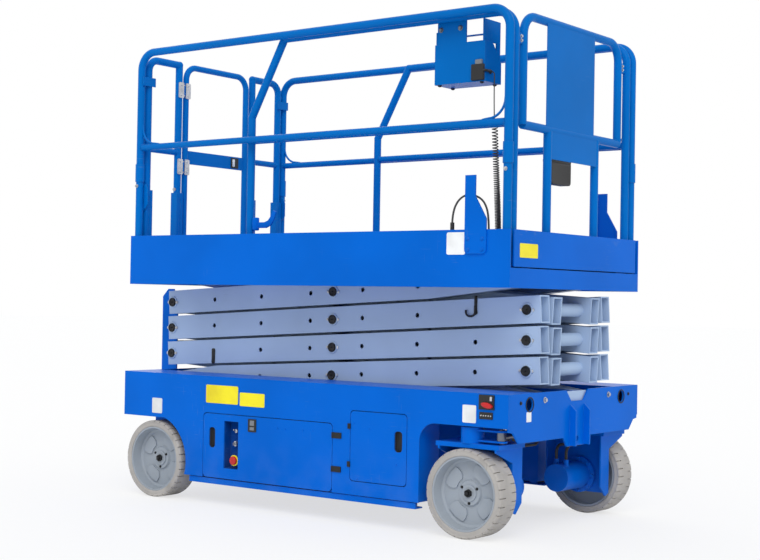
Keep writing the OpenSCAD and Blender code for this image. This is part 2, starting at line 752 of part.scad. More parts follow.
module rear_rails() {
    foot = floor_top + fit;
    socket = rail_d + 6;
    socket_h = 400;
    clip_low = z_rail - 165;
    clip_high = z_rail - 120;
    color(blue) union() {
        both_sides() translate([x_gate, -u_out, 0]) rotate([0, 0, 90]) union() {
            mitred_hoop(u_out - u_in, foot, z_hoop, rail_d, 60);
            translate([0, 0, z_mid]) rotate([0, 90, 0]) cylinder(h = u_out - u_in, d = mid_d);
            // slotted sockets round both posts
            for (x = [0, u_out - u_in]) difference() {
                translate([x - socket / 2, -socket / 2, foot]) cube([socket, socket, socket_h]);
                translate([x - 5, -socket / 2 - 1, foot + 30]) cube([10, 3, socket_h - 60]);
            }
        }
        // clips that reach past the side rails' posts
        both_sides() union() {
            span([x_gate + 14, -u_out - 8, clip_low], [x_gate + 26, -u_out + 8, clip_high]);
            span([x_gate + 21, -u_out - 60, clip_low], [x_gate + 26, -u_out + 26, clip_high]);
        }
        // hinge knuckles on the right inner post
        for (z = hinge_z, s = [0, 34]) {
            z_bar(hinge_x, hinge_y, z + s, z + s + 16, 16);
            span([x_gate, -u_in, z + s], [hinge_x, hinge_y, z + s + 16]);
        }
    }
}

module gate() {
    g = gate_w / 2;
    color(blue) union() {
        translate([x_gate, -g, 0]) rotate([0, 0, 90]) hoop(gate_w, floor_top + 24, z_hoop, mid_d, 70);
        // mid plate with latch
        span([x_gate - 3, -g, z_mid - 54], [x_gate + 3, g, z_mid + 16]);
        // toe plate
        span([x_gate - 3, -g, floor_top + 24], [x_gate + 3, g, toe_top]);
        for (z = hinge_z) {
            z_bar(hinge_x, hinge_y, z + 16 + fit, z + 34 - fit, 16);
            span([x_gate, hinge_y, z + 16 + fit], [hinge_x, -g, z + 34 - fit]);
        }
    }
}

// Tapered stanchions bolted outside the toe boards.
module deck_stanchions() {
    x = deck_front - 225;
    color(blue) both_sides() union() {
        xz_plate(-deck_w / 2 - 8, -deck_w / 2 - fit) {
            polygon([[x, toe_top + 230], [x, toe_top - 85], [x + 108, toe_top - 85], [x + 108, toe_top + 45],
                     [x + 52, toe_top + 140], [x + 52, toe_top + 230]]);
            translate([x + 18, toe_top - 85]) circle(18);
            translate([x + 90, toe_top - 85]) circle(18);
            translate([x + 18, toe_top - 103]) square([72, 30]);
        }
        span([x, -deck_w / 2 - 1, toe_top + 1], [x + 6, -deck_w / 2 + 9, toe_top + 230]);
    }
}

ext_half = y_panel - 25;                      // half width of the extension's toe board
ext_rear = deck_front - 1560;

module extension_deck() {
    color(blue) union() {
        span([ext_rear, -ext_side, ext_top - ext_t], [deck_front - 1, ext_side, ext_top]);
        // toe board
        span([deck_front - 8, -ext_half, ext_top - ext_t], [deck_front, ext_half, toe_top]);
        // stringers
        both_sides()
            span([ext_rear, -ext_side, ext_top - 1], [deck_front - 1, -ext_side + stringer, ext_top + 36]);
        // slide pads
        for (x = [ext_rear + 20, ext_rear + 700, deck_front - 110], s = [-1, 1])
            span([x, s * 420 - 30, floor_top + fit], [x + 90, s * 420 + 30, ext_top - ext_t + 1]);
    }
}

ext_post = ext_rear + 37;                     // rear posts of the extension's rails
front_x = deck_front - 45;                    // plane of the front rail
clip_gap = 38;                                // front loop beside the side rails
post_half = (y_ext - rail_d - clip_gap) / 2 - 1;

module extension_rails() {
    z_top = z_rail - 6;
    knee = ext_top + 712;
    rise = z_top - knee;
    lean = rise * 0.55;
    bead = rail_d + 1;                        // welded knuckle at a mitred knee
    x1 = front_x + 6;
    color(blue) both_sides() translate([0, -y_ext, 0]) union() {
        z_bar(ext_post, 0, ext_top + fit, knee, rail_d);
        translate([ext_post, 0, knee]) sphere(d = bead);
        translate([ext_post, 0, knee]) rotate([0, atan2(lean, rise), 0])
            cylinder(h = norm([lean, rise]), d = rail_d);
        translate([ext_post + lean, 0, z_top]) sphere(d = bead);
        translate([ext_post + lean, 0, z_top]) rotate([0, 90, 0])
            cylinder(h = x1 - bend_r - ext_post - lean, d = rail_d);
        translate([x1 - bend_r, 0, z_top - bend_r]) rotate([90, 0, 0])
            rotate_extrude(angle = 90) translate([bend_r, 0]) circle(d = rail_d);
        z_bar(x1, 0, ext_top + fit, z_top - bend_r, rail_d);
        translate([ext_post, 0, z_mid]) rotate([0, 90, 0]) cylinder(h = x1 - ext_post, d = mid_d);
    }
}

module front_rail() {
    loop_half = y_ext - rail_d - clip_gap;
    z_top = z_rail - 12;
    color(blue) union() {
        translate([front_x, -loop_half, 0]) rotate([0, 0, 90])
            hoop(2 * loop_half, z_mid, z_top, rail_d, bend_r);
        y_bar(front_x, z_mid, -loop_half, loop_half, rail_d);
        for (s = [-1, 1]) z_bar(front_x, s * post_half, ext_top + fit, z_mid, rail_d);
        // wide plate above the mid rail, narrow one below it
        span([front_x + 12, -post_half - 38, z_mid - 8], [front_x + 16, post_half - 40, z_top]);
        span([front_x + 12, -post_half, z_mid - 128], [front_x + 16, post_half, z_mid + 4]);
        // gusset
        yz_plate(front_x - 3, front_x + 3)
            polygon([[post_half, ext_top + 190], [post_half, ext_top + 20], [post_half + 165, ext_top + 20]]);
        // clips to the side rails
        both_sides()
            span([front_x - 8, -y_ext + rail_d / 2 + fit, z_top - 130], [front_x + 8, -loop_half, z_top - 85]);
    }
}

box_x = deck_front - 463;

module control_box() {
    y0 = -y_ext + rail_d / 2 + fit;
    color(blue) union() {
        // hanger plate
        span([box_x + 13, y0, z_rail - 130], [box_x + 164, y0 + 6, z_rail + 2]);
        // box with a sloping face towards the operator
        translate([box_x, 0, 0]) yz_plate(0, 262)
            polygon([[y0, z_rail - 291], [y0, z_rail - 115], [y0 + 60, z_rail - 115],
                     [y0 + 130, z_rail - 200], [y0 + 130, z_rail - 291]]);
        // guard over the controls
        span([box_x + 6, y0, z_rail - 116], [box_x + 12, y0 + 130, z_rail - 60]);
        span([box_x + 250, y0, z_rail - 116], [box_x + 256, y0 + 130, z_rail - 20]);
        span([box_x + 6, y0 + 118, z_rail - 66], [box_x + 256, y0 + 130, z_rail - 60]);
        for (x = [box_x + 6, box_x + 250]) span([x, y0 + 100, z_rail - 210], [x + 6, y0 + 130, z_rail - 60]);
    }
}

module document_box() {
    color(black)
        span([front_x - 34, -post_in, z_mid - 234], [front_x + 12 - fit, -post_in + 169, z_mid - 122]);
}
post_in = post_half - rail_d / 2 - 1;

// Cords

// Sweeps a round tube along a list of points.
function unit(v) = v / norm(v);
function tangent(p, i) = unit(p[min(i + 1, len(p) - 1)] - p[max(i - 1, 0)]);
function side_of(t) = unit(cross(t, abs(t[1]) < 0.9 ? [0, 1, 0] : [1, 0, 0]));
function ring(p, i, r, n) =
    let (t = tangent(p, i), u = side_of(t), v = cross(t, u))
    [for (k = [0 : n - 1]) p[i] + r * (cos(360 * k / n) * u + sin(360 * k / n) * v)];

module sweep(p, d, n) {
    m = len(p);
    points = [for (i = [0 : m - 1]) each ring(p, i, d / 2, n)];
    walls = [for (i = [0 : m - 2], k = [0 : n - 1])
        [i * n + k, i * n + (k + 1) % n, (i + 1) * n + (k + 1) % n, (i + 1) * n + k]];
    caps = [[for (k = [n - 1 : -1 : 0]) k], [for (k = [0 : n - 1]) (m - 1) * n + k]];
    polyhedron(points, concat(walls, caps), convexity = 8);
}

cord_route = [
    [985, -440, 1995], [992, -440, 1994.5], [999, -440, 1990], [1004, -440, 1982], [1006, -440, 1970],
    [1006, -440, 1900], [1008, -440, 1800], [1014, -440, 1700], [1020, -440, 1600], [1026, -440, 1500],
    [1031, -440, 1400], [1035, -440, 1300], [1038, -440, 1200], [1038, -440, 1160.6]
];
cord_back = 12;                               // outlet cord inside the deck's panel
outlet_rise = [[0, 0], [0, 70], [0, 130], [8, 175], [25, 207], [50, 228], [80, 236], [120, 230], [155, 208],
               [176, 170], [184, 120], [186, 60], [186, 0]];
outlet_x = deck_front - 305;
outlet_z = floor_top + 74;
outlet_route = [for (p = outlet_rise) [outlet_x + p[0], -y_panel + cord_back, outlet_z + p[1]]];

module control_cord() { color(black) sweep(cord_route, 20, 10); }
module outlet_cord() { color(black) sweep(outlet_route, 9, 8); }
// Box and gland that hold the outlet cord's ends, with its connector.
module outlet_boxes() {
    color(black) {
        for (x = [outlet_x, outlet_x + 186])
            span([x - 20, -y_panel + fit, outlet_z - 30], [x + 20, -y_panel + 22, outlet_z - fit]);
        difference() {
            z_bar(outlet_x, -y_panel + cord_back, outlet_z + 75, outlet_z + 120, 18);
            z_bar(outlet_x, -y_panel + cord_back, outlet_z + 74, outlet_z + 121, 10);
        }
    }
}

// Doors

// Hinge leaf with its knuckle, on the skirt beside a door. The knuckle stands on the
// hinge line, just outside the gap; dir is the side of the line that the leaf lies on.
module hinge_leaf(x, z, h, leaf, dir) {
    z_bar(x, -y_skirt - hinge_out, z, z + h, 2 * hinge_out - 2 * fit);
    span([dir > 0 ? x : x - leaf, -y_skirt - hinge_out - 1, z],
         [dir > 0 ? x + leaf : x, -y_skirt - fit, z + h]);
}

module door_hinges() {
    x0 = door_lo[0] + door_l + door_gap / 2;
    x1 = hatch_lo[0] - door_gap / 2;
    color(black) both_sides() {
        for (z = [door_lo[1] + 92, door_lo[1] + 244]) hinge_leaf(x0, z, 26, 53, 1);
        for (z = [hatch_lo[1] + 60, hatch_lo[1] + 230]) hinge_leaf(x1, z, 24, 14, -1);
    }
}

module rear_door() {
    color(blue) difference() {
        xz_plate(-y_skirt, -y_skirt + sheet) door_outline(0);
        // hand slot
        xz_plate(-y_skirt - 1, -y_skirt + sheet + 1)
            soft_rect([door_lo[0] + 38, door_lo[1] + 144], [40, 98], 16);
    }
}

module right_rear_door() {
    difference() {
        rear_door();
        // window for the ground controls
        xz_plate(-y_skirt - 1, -y_skirt + sheet + 1)
            translate([door_lo[0] + 136, door_lo[1] + 50]) square([93, 227]);
    }
}

module front_hatch() {
    color(blue) difference() {
        xz_plate(-y_skirt, -y_skirt + sheet) hatch_outline(0);
        xz_plate(-y_skirt - 1, -y_skirt + sheet + 1)
            soft_rect([hatch_lo[0] + hatch_l - 66, hatch_lo[1] + 145], [43, 91], 16);
    }
}

// Recessed control station in the right rear door.
module ground_controls() {
    x = door_lo[0] + 136;
    z = door_lo[1] + 50;
    y = -y_skirt + sheet;
    depth = 45;
    color(dark_blue) difference() {
        span([x - 10, y + fit, z - 10], [x + 103, y + depth, z + 237]);
        span([x + 2, y - 1, z + 2], [x + 91, y + depth - 4, z + 225]);
    }
    color("red") y_bar(x + 56, z + 40, y + 8, y + depth - 4 - fit, 38);
    color(black) y_bar(x + 56, z + 120, y + 22, y + depth - 4 - fit, 30);
    color(black) y_bar(x + 56, z + 180, y + 22, y + depth - 4 - fit, 24);
}

// Drawing

chassis_centre();
chassis_side();  // chassis_side_right
left_of() chassis_side();  // chassis_side_left
rear_axles();
king_pins();
pothole_guards();
ladder();
power_packs();
side_sockets();
door_hinges();
steer_barrel();
steer_rod();
tie_rod();
yoke();  // yoke_right
left_of() yoke();  // yoke_left
drive_motor();  // drive_motor_right
left_of() drive_motor();  // drive_motor_left
rim_at(x_fa, -1);  // rim_front_right
rim_at(x_fa, 1);  // rim_front_left
rim_at(x_ra, -1);  // rim_rear_right
rim_at(x_ra, 1);  // rim_rear_left
tyre_at(x_fa, -1);  // tyre_front_right
tyre_at(x_fa, 1);  // tyre_front_left
tyre_at(x_ra, -1);  // tyre_rear_right
tyre_at(x_ra, 1);  // tyre_rear_left
outer_arms(1);  // outer_arms_1
outer_arms(2);  // outer_arms_2
outer_arms(3);  // outer_arms_3
outer_arms(4);  // outer_arms_4
inner_arms(1);  // inner_arms_1
inner_arms(2);  // inner_arms_2
inner_arms(3);  // inner_arms_3
inner_arms(4);  // inner_arms_4
arm_pins(1);  // arm_pins_1
arm_pins(2);  // arm_pins_2
arm_pins(3);  // arm_pins_3
arm_pins(4);  // arm_pins_4
lift_barrel();
lift_rod();
main_deck();
side_rails();
rear_rails();
deck_stanchions();
gate();
extension_deck();
extension_rails();
front_rail();
control_box();
document_box();
control_cord();
outlet_cord();
outlet_boxes();
right_rear_door();  // door_right_rear
front_hatch();  // door_right_front
left_of() rear_door();  // door_left_rear
left_of() front_hatch();  // door_left_front
ground_controls();
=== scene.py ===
"""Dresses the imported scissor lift: camera, studio light, finishes and small hardware.

The CAD nodes stay where they are and get procedural finishes. New pieces ride on the
CAD bodies, so they move with the lift, the steering, the doors and the gate.
"""

import json
import logging
import math
from dataclasses import dataclass
from enum import Enum
from typing import Callable, Dict, List, Optional, Sequence, Tuple

import bmesh
import bpy
from mathutils import Matrix, Vector


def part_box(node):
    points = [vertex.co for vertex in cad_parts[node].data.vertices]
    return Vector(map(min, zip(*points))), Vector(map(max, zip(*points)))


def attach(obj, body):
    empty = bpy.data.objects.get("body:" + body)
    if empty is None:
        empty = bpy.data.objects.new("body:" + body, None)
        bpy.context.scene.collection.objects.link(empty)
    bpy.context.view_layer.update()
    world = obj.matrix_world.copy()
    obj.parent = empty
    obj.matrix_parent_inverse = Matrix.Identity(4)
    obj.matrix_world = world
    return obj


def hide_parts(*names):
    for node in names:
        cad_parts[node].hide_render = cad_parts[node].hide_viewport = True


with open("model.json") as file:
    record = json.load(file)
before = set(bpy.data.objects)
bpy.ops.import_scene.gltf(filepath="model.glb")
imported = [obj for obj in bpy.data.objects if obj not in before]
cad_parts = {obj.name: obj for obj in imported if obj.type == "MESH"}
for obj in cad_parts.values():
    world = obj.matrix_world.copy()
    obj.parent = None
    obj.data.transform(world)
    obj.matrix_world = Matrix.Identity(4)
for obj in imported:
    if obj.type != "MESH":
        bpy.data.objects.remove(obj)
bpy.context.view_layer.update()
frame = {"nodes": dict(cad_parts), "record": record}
LOG = logging.getLogger("scissor_lift")
SMOOTH_BELOW = math.radians(35)

Point = Tuple[float, float, float]
Screen = Tuple[int, int, int]
Test = Callable[[Vector, Vector], bool]

AHEAD: Point = (1, 0, 0)
BACK: Point = (-1, 0, 0)
LEFT: Point = (0, 1, 0)
RIGHT: Point = (0, -1, 0)
UP: Point = (0, 0, 1)
DOWN: Point = (0, 0, -1)


class Side(Enum):
    """The machine's two sides, by the sign of Y."""

    RIGHT = -1
    LEFT = 1

    @property
    def tag(self) -> str:
        """The side's name, as pieces and bodies carry it."""
        return self.name.lower()

    @property
    def out(self) -> Point:
        """The direction in which this side looks."""
        return (0, self.value, 0)


class Pick(Enum):
    """What a test selects on a mesh."""

    FACES = "FACE"
    EDGES = "EDGE"


class Effect(Enum):
    """Surface effects that several finishes share."""

    FILM = "sprayed_film"
    GRIME = "settled_dust"
    SCUFFS = "fine_scuffs"
    LUGS = "tread_lugs"
    GRAIN = "moulded_grain"
    EDGES = "worn_edges"


# Node graphs


def linear(screen: Screen) -> Tuple[float, float, float, float]:
    """Linear colour with alpha, from screen values of 0 to 255."""
    scaled = [c / 255 for c in screen]
    parts = [c / 12.92 if c <= 0.04045 else ((c + 0.055) / 1.055) ** 2.4 for c in scaled]
    return (parts[0], parts[1], parts[2], 1.0)


def shade(screen: Screen, factor: float) -> Screen:
    """The screen colour made darker or lighter by a factor."""
    red, green, blue = (max(0, min(255, round(c * factor))) for c in screen)
    return (red, green, blue)


class Graph:
    """Short calls that add and join the nodes of one tree."""

    groups: Dict[Effect, bpy.types.NodeTree] = {}

    def __init__(self, tree: bpy.types.NodeTree) -> None:
        """Keeps the tree that the calls work on."""
        self.tree = tree

    def add(self, kind: str, **settings: object) -> bpy.types.Node:
        """Adds a node.

        Args:
            kind: Blender's type name of the node.
            settings: properties to set on it.

        Returns:
            The new node.
        """
        node = self.tree.nodes.new(kind)
        for key, value in settings.items():
            setattr(node, key, value)
        return node

    def find(self, kind: str) -> bpy.types.Node:
        """The tree's own node of a type."""
        return next(node for node in self.tree.nodes if node.type == kind)

    def put(self, socket: bpy.types.NodeSocket, value: object) -> None:
        """Links a socket to another one, or sets its own value."""
        if isinstance(value, bpy.types.NodeSocket):
            self.tree.links.new(value, socket)
        else:
            socket.default_value = value

    def math(self, operation: str, first: object, second: object = 0.0) -> bpy.types.NodeSocket:
        """Adds one sum.

        Args:
            operation: Blender's name of the operation.
            first: the first value or socket.
            second: the second value or socket.

        Returns:
            The socket that holds the result.
        """
        node = self.add("ShaderNodeMath", operation=operation)
        self.put(node.inputs[0], first)
        self.put(node.inputs[1], second)
        return node.outputs[0]

    def product(self, first: object, second: object) -> bpy.types.NodeSocket:
        """One value times another."""
        return self.math("MULTIPLY", first, second)

    def split(self, vector: object) -> Dict[str, bpy.types.NodeSocket]:
        """The X, Y and Z of a vector."""
        node = self.add("ShaderNodeSeparateXYZ")
        self.put(node.inputs[0], vector)
        return node.outputs

    def normal(self) -> bpy.types.NodeSocket:
        """The surface's normal."""
        return self.add("ShaderNodeNewGeometry").outputs["Normal"]

    def seen(self) -> bpy.types.NodeSocket:
        """1 for what the camera sees, straight, in a reflection or through glass, and 0 for other light."""
        path = self.add("ShaderNodeLightPath").outputs
        straight = self.math("MAXIMUM", path["Is Camera Ray"], path["Is Transmission Ray"])
        return self.math("MAXIMUM", straight, path["Is Glossy Ray"])

    def blend(self, share: object, first: bpy.types.Node, second: bpy.types.Node) -> bpy.types.NodeSocket:
        """Mixes two shaders by a share of the second."""
        node = self.add("ShaderNodeMixShader")
        for socket, part in zip(node.inputs, (share, first.outputs[0], second.outputs[0])):
            self.put(socket, part)
        return node.outputs[0]

    def span(self, value: object, low: float, high: float, to_low: float = 0.0,
             to_high: float = 1.0) -> bpy.types.NodeSocket:
        """Maps a value smoothly from one range to another.

        Args:
            value: the value or socket to map.
            low: start of the range it comes from.
            high: end of the range it comes from.
            to_low: what low becomes.
            to_high: what high becomes.

        Returns:
            The socket that holds the result.
        """
        node = self.add("ShaderNodeMapRange", interpolation_type="SMOOTHSTEP")
        for name, part in (("Value", value), ("From Min", low), ("From Max", high),
                           ("To Min", to_low), ("To Max", to_high)):
            self.put(node.inputs[name], part)
        return node.outputs["Result"]

    def noise(self, vector: object, scale: object, detail: float = 2.0) -> bpy.types.NodeSocket:
        """Adds a noise.

        Args:
            vector: the coordinates it reads.
            scale: how fine it is.
            detail: how many finer layers it has.

        Returns:
            The socket that holds its value.
        """
        node = self.add("ShaderNodeTexNoise")
        self.put(node.inputs["Vector"], vector)
        self.put(node.inputs["Scale"], scale)
        node.inputs["Detail"].default_value = detail
        return node.outputs[0]

    def mix(self, mask: object, first: object, second: object) -> bpy.types.NodeSocket:
        """Mixes two colours by a mask.

        Args:
            mask: 0 keeps the first colour and 1 the second.
            first: the colour under the mask.
            second: the colour that the mask lays over it.

        Returns:
            The socket that holds the colour.
        """
        node = self.add("ShaderNodeMix", data_type="RGBA")
        self.put(node.inputs[0], mask)
        self.put(node.inputs[6], first)
        self.put(node.inputs[7], second)
        return node.outputs[2]

    def stretched(self, vector: object, scale: Point) -> bpy.types.NodeSocket:
        """Scales coordinates along each axis, for a pattern with a direction."""
        node = self.add("ShaderNodeMapping")
        self.put(node.inputs["Vector"], vector)
        node.inputs["Scale"].default_value = scale
        return node.outputs["Vector"]

    def effect(self, effect: Effect, **inputs: object) -> bpy.types.Node:
        """Places a shared effect.

        Args:
            effect: which one.
            inputs: its sockets' values or links, by name.

        Returns:
            The group node.
        """
        if effect not in Graph.groups:
            Graph.groups[effect] = EffectMaker(effect).tree
        node = self.add("ShaderNodeGroup", node_tree=Graph.groups[effect])
        for name, value in inputs.items():
            self.put(node.inputs[name], value)
        return node


class EffectMaker:
    """Builds one shared effect as a node group with named sockets."""

    sockets: Dict[Effect, Tuple[Sequence[str], Sequence[str]]] = {
        Effect.FILM: (("Broad", "Fine"), ("Tone", "Peel")),
        Effect.GRIME: (("Level", "Patch"), ("Mask",)),
        Effect.SCUFFS: (("Density", "Share"), ("Mask",)),
        Effect.LUGS: (("Pitch",), ("Mask",)),
        Effect.GRAIN: (("Fine",), ("Tone", "Height")),
        Effect.EDGES: (("Patch",), ("Mask",)),
    }

    def __init__(self, effect: Effect) -> None:
        """Makes the group's sockets and draws its nodes."""
        self.tree = bpy.data.node_groups.new(effect.value, "ShaderNodeTree")
        self.graph = Graph(self.tree)
        inputs, outputs = EffectMaker.sockets[effect]
        self.tree.interface.new_socket("Vector", in_out="INPUT", socket_type="NodeSocketVector")
        if effect is Effect.EDGES:
            self.tree.interface.new_socket("Rounded", in_out="INPUT", socket_type="NodeSocketVector")
        for name in inputs:
            self.tree.interface.new_socket(name, in_out="INPUT", socket_type="NodeSocketFloat")
        for name in outputs:
            self.tree.interface.new_socket(name, in_out="OUTPUT", socket_type="NodeSocketFloat")
        self.given = self.graph.add("NodeGroupInput").outputs
        self.made = self.graph.add("NodeGroupOutput").inputs
        {Effect.FILM: self.film, Effect.GRIME: self.grime, Effect.SCUFFS: self.scuffs,
         Effect.LUGS: self.lugs, Effect.GRAIN: self.grain, Effect.EDGES: self.edges}[effect]()

    def film(self) -> None:
        """Broad drift of tone, and the fine waves of a sprayed coat."""
        drift = self.graph.noise(self.given["Vector"], self.given["Broad"], 3.0)
        self.graph.put(self.made["Tone"], self.graph.span(drift, 0.3, 0.7))
        self.graph.put(self.made["Peel"], self.graph.noise(self.given["Vector"], self.given["Fine"], 1.0))

    def grime(self) -> None:
        """Dust that settles in patches on faces that look up, and on the lowest parts."""
        graph, place = self.graph, self.given["Vector"]
        upward = graph.span(graph.split(graph.normal())["Z"], 0.45, 0.95)
        low = graph.span(graph.split(place)["Z"], 0.42, 0.06, 0.0, 0.7)
        patch = graph.span(graph.noise(place, self.given["Patch"], 5.0), 0.38, 0.72)
        both = graph.product(graph.math("MAXIMUM", upward, low), patch)
        graph.put(self.made["Mask"], graph.product(both, self.given["Level"]))

    def scuffs(self) -> None:
        """Short fine lines, in patches, where hands and boots rub."""
        graph, place, density = self.graph, self.given["Vector"], self.given["Density"]
        lines = graph.noise(graph.stretched(place, (14.0, 14.0, 210.0)), density, 1.0)
        across = graph.noise(graph.stretched(place, (190.0, 16.0, 12.0)), density, 1.0)
        worst = graph.math("MAXIMUM", graph.span(lines, 0.66, 0.76), graph.span(across, 0.68, 0.78))
        patch = graph.span(graph.noise(place, 2.6, 2.0), 0.5, 0.72)
        graph.put(self.made["Mask"], graph.product(graph.product(worst, patch), self.given["Share"]))

    def lugs(self) -> None:
        """Raised lozenges of tread plate, which lie crosswise by turns, on faces that look up."""
        graph = self.graph
        turned = graph.add("ShaderNodeMapping")
        turned.inputs["Rotation"].default_value = (0.0, 0.0, math.radians(45))
        graph.put(turned.inputs["Vector"], self.given["Vector"])
        place = graph.split(turned.outputs["Vector"])
        cells, offsets = [], []
        for axis in ("X", "Y"):
            cell = graph.math("DIVIDE", place[axis], self.given["Pitch"])
            cells.append(graph.math("FLOOR", cell))
            offsets.append(graph.math("ABSOLUTE", graph.math("SUBTRACT", graph.math("FRACT", cell), 0.5)))
        odd = graph.math("FLOORED_MODULO", graph.math("ADD", *cells), 2.0)
        even = graph.math("SUBTRACT", 1.0, odd)
        reach = []
        for half, (first, second) in ((0.44, (odd, even)), (0.13, (even, odd))):
            offset = graph.math("ADD", graph.product(offsets[0], first), graph.product(offsets[1], second))
            reach.append(graph.math("POWER", graph.math("DIVIDE", offset, half), 2.0))
        lozenge = graph.span(graph.math("ADD", *reach), 1.0, 0.25)
        top = graph.span(graph.split(graph.normal())["Z"], 0.9, 0.98)
        graph.put(self.made["Mask"], graph.product(lozenge, top))

    def grain(self) -> None:
        """Fine leathery grain of a moulded surface."""
        graph = self.graph
        graph.put(self.made["Tone"], graph.span(graph.noise(self.given["Vector"], 6.0, 4.0), 0.3, 0.7))
        graph.put(self.made["Height"], graph.noise(self.given["Vector"], self.given["Fine"], 3.0))

    def edges(self) -> None:
        """Broken line along the edges, where the rounded normal leaves the flat one; the finishes use it for
        edge colour that is partly wear and partly a painted highlight.
        """
        graph = self.graph
        dot = graph.add("ShaderNodeVectorMath", operation="DOT_PRODUCT")
        graph.put(dot.inputs[0], graph.normal())
        graph.put(dot.inputs[1], self.given["Rounded"])
        turned = graph.span(dot.outputs["Value"], 0.995, 0.93)
        patch = graph.span(graph.noise(self.given["Vector"], self.given["Patch"], 4.0), 0.35, 0.7)
        graph.put(self.made["Mask"], graph.product(turned, patch))


# Finishes


@dataclass(frozen=True)
class Finish:
    """What every finish has: a name, a screen colour, a roughness and the record's slot for new pieces."""

    name: str
    colour: Screen
    roughness: float = 0.45
    slot: Optional[str] = None

    def material(self) -> bpy.types.Material:
        """The finish's material, made on its first use."""
        found = bpy.data.materials.get(self.name)
        if found is not None:
            return found
        made = bpy.data.materials.new(self.name)
        made.use_nodes = True
        graph = Graph(made.node_tree)
        place = graph.add("ShaderNodeTexCoord").outputs["Object"]
        self.dress(graph, graph.find("BSDF_PRINCIPLED"), place)
        return made

    def dress(self, graph: Graph, shader: bpy.types.Node, place: bpy.types.NodeSocket) -> None:
        """Draws the finish's own nodes."""
        raise NotImplementedError

    def drift(self, graph: Graph, mask: object, low: float, high: float) -> bpy.types.NodeSocket:
        """The finish's colour, which drifts from a darker to a lighter tone.

        Args:
            graph: the material's nodes.
            mask: 0 for the first tone and 1 for the second.
            low: factor of the first tone.
            high: factor of the second tone.

        Returns:
            The socket that holds the colour.
        """
        return graph.mix(mask, linear(shade(self.colour, low)), linear(shade(self.colour, high)))

    def bump(self, graph: Graph, shader: bpy.types.Node, height: object, depth: float,
             normal: Optional[bpy.types.NodeSocket] = None) -> None:
        """Feeds a height to the shader's normal.

        Args:
            graph: the material's nodes.
            shader: the shader that gets the normal.
            height: the socket with the height.
            depth: how deep a height of 1 is, in metres.
            normal: the normal that the bump lies on.
        """
        node = graph.add("ShaderNodeBump")
        node.inputs["Distance"].default_value = depth
        graph.put(node.inputs["Height"], height)
        if normal is not None:
            graph.put(node.inputs["Normal"], normal)
        graph.put(shader.inputs["Normal"], node.outputs["Normal"])


@dataclass(frozen=True)
class Paint(Finish):
    """Sprayed enamel on sheet steel, with dust, scuffs, softened edges and an edge colour that is partly wear
    and partly a painted highlight.
    """

    dust: float = 0.25
    scuffs: float = 0.25
    wear_and_highlight: float = 0.35
    tread: float = 0.0
    tread_rise: float = 0.0016
    peel: float = 0.00012
    edge_r: float = 0.0025
    worn_and_highlit_edge: Screen = (96, 140, 196)
    worn_tread: Screen = (112, 140, 176)
    scuffed: Screen = (120, 142, 176)
    dust_tone: Screen = (166, 170, 172)

    def dress(self, graph: Graph, shader: bpy.types.Node, place: bpy.types.NodeSocket) -> None:
        """Draws the enamel's drift of tone, its waves, its edge colour (partly wear, partly a painted
        highlight), scuffs and dust.
        """
        round_edge = graph.add("ShaderNodeBevel", samples=4)
        round_edge.inputs["Radius"].default_value = self.edge_r
        film = graph.effect(Effect.FILM, Vector=place, Broad=1.7, Fine=330.0)
        grime = graph.effect(Effect.GRIME, Vector=place, Level=self.dust, Patch=7.0)
        scuffs = graph.effect(Effect.SCUFFS, Vector=place, Density=1.0, Share=self.scuffs)
        edges = graph.effect(Effect.EDGES, Vector=place, Rounded=round_edge.outputs["Normal"], Patch=38.0)
        base = self.drift(graph, film.outputs["Tone"], 0.965, 1.03)
        # Edge colour along every edge: partly wear, partly a painted highlight.
        rubbed_and_highlit = graph.product(edges.outputs["Mask"], self.wear_and_highlight)
        for mask, colour in ((rubbed_and_highlit, self.worn_and_highlit_edge), (scuffs.outputs["Mask"], self.scuffed),
                             (grime.outputs["Mask"], self.dust_tone)):
            base = graph.mix(mask, base, linear(colour))
        graph.put(shader.inputs["Base Color"], base)
        worn = graph.math("ADD", grime.outputs["Mask"], scuffs.outputs["Mask"])
        graph.put(shader.inputs["Roughness"], graph.span(worn, 0.0, 0.8, self.roughness, 0.8))
        shader.inputs["Specular IOR Level"].default_value = 0.05
        height, depth = film.outputs["Peel"], self.peel
        if self.tread:
            lugs = graph.effect(Effect.LUGS, Vector=place, Pitch=self.tread)
            waves = graph.product(film.outputs["Peel"], 0.05)
            height, depth = graph.math("ADD", lugs.outputs["Mask"], waves), self.tread_rise
            worn_top = graph.product(lugs.outputs["Mask"], 0.4)
            graph.put(shader.inputs["Base Color"], graph.mix(worn_top, base, linear(self.worn_tread)))
        self.bump(graph, shader, height, depth, round_edge.outputs["Normal"])


@dataclass(frozen=True)
class Rubber(Finish):
    """Solid moulded rubber with scrubbed patches."""

    scrub: Screen = (120, 118, 114)
    amount: float = 0.4

    def dress(self, graph: Graph, shader: bpy.types.Node, place: bpy.types.NodeSocket) -> None:
        """Draws the rubber's grain, its scrubbed patches and its dust."""
        grain = graph.effect(Effect.GRAIN, Vector=place, Fine=240.0)
        scuffs = graph.effect(Effect.SCUFFS, Vector=place, Density=0.6, Share=self.amount)
        stain = graph.span(graph.noise(place, 11.0, 5.0), 0.5, 0.78, 0.0, self.amount)
        base = self.drift(graph, grain.outputs["Tone"], 0.95, 1.03)
        base = graph.mix(graph.math("MAXIMUM", stain, scuffs.outputs["Mask"]), base, linear(self.scrub))
        graph.put(shader.inputs["Base Color"], base)
        graph.put(shader.inputs["Roughness"], graph.span(grain.outputs["Tone"], 0.0, 1.0,
                                                         self.roughness, self.roughness + 0.12))
        shader.inputs["Specular IOR Level"].default_value = 0.3
        self.bump(graph, shader, grain.outputs["Height"], 0.0004)


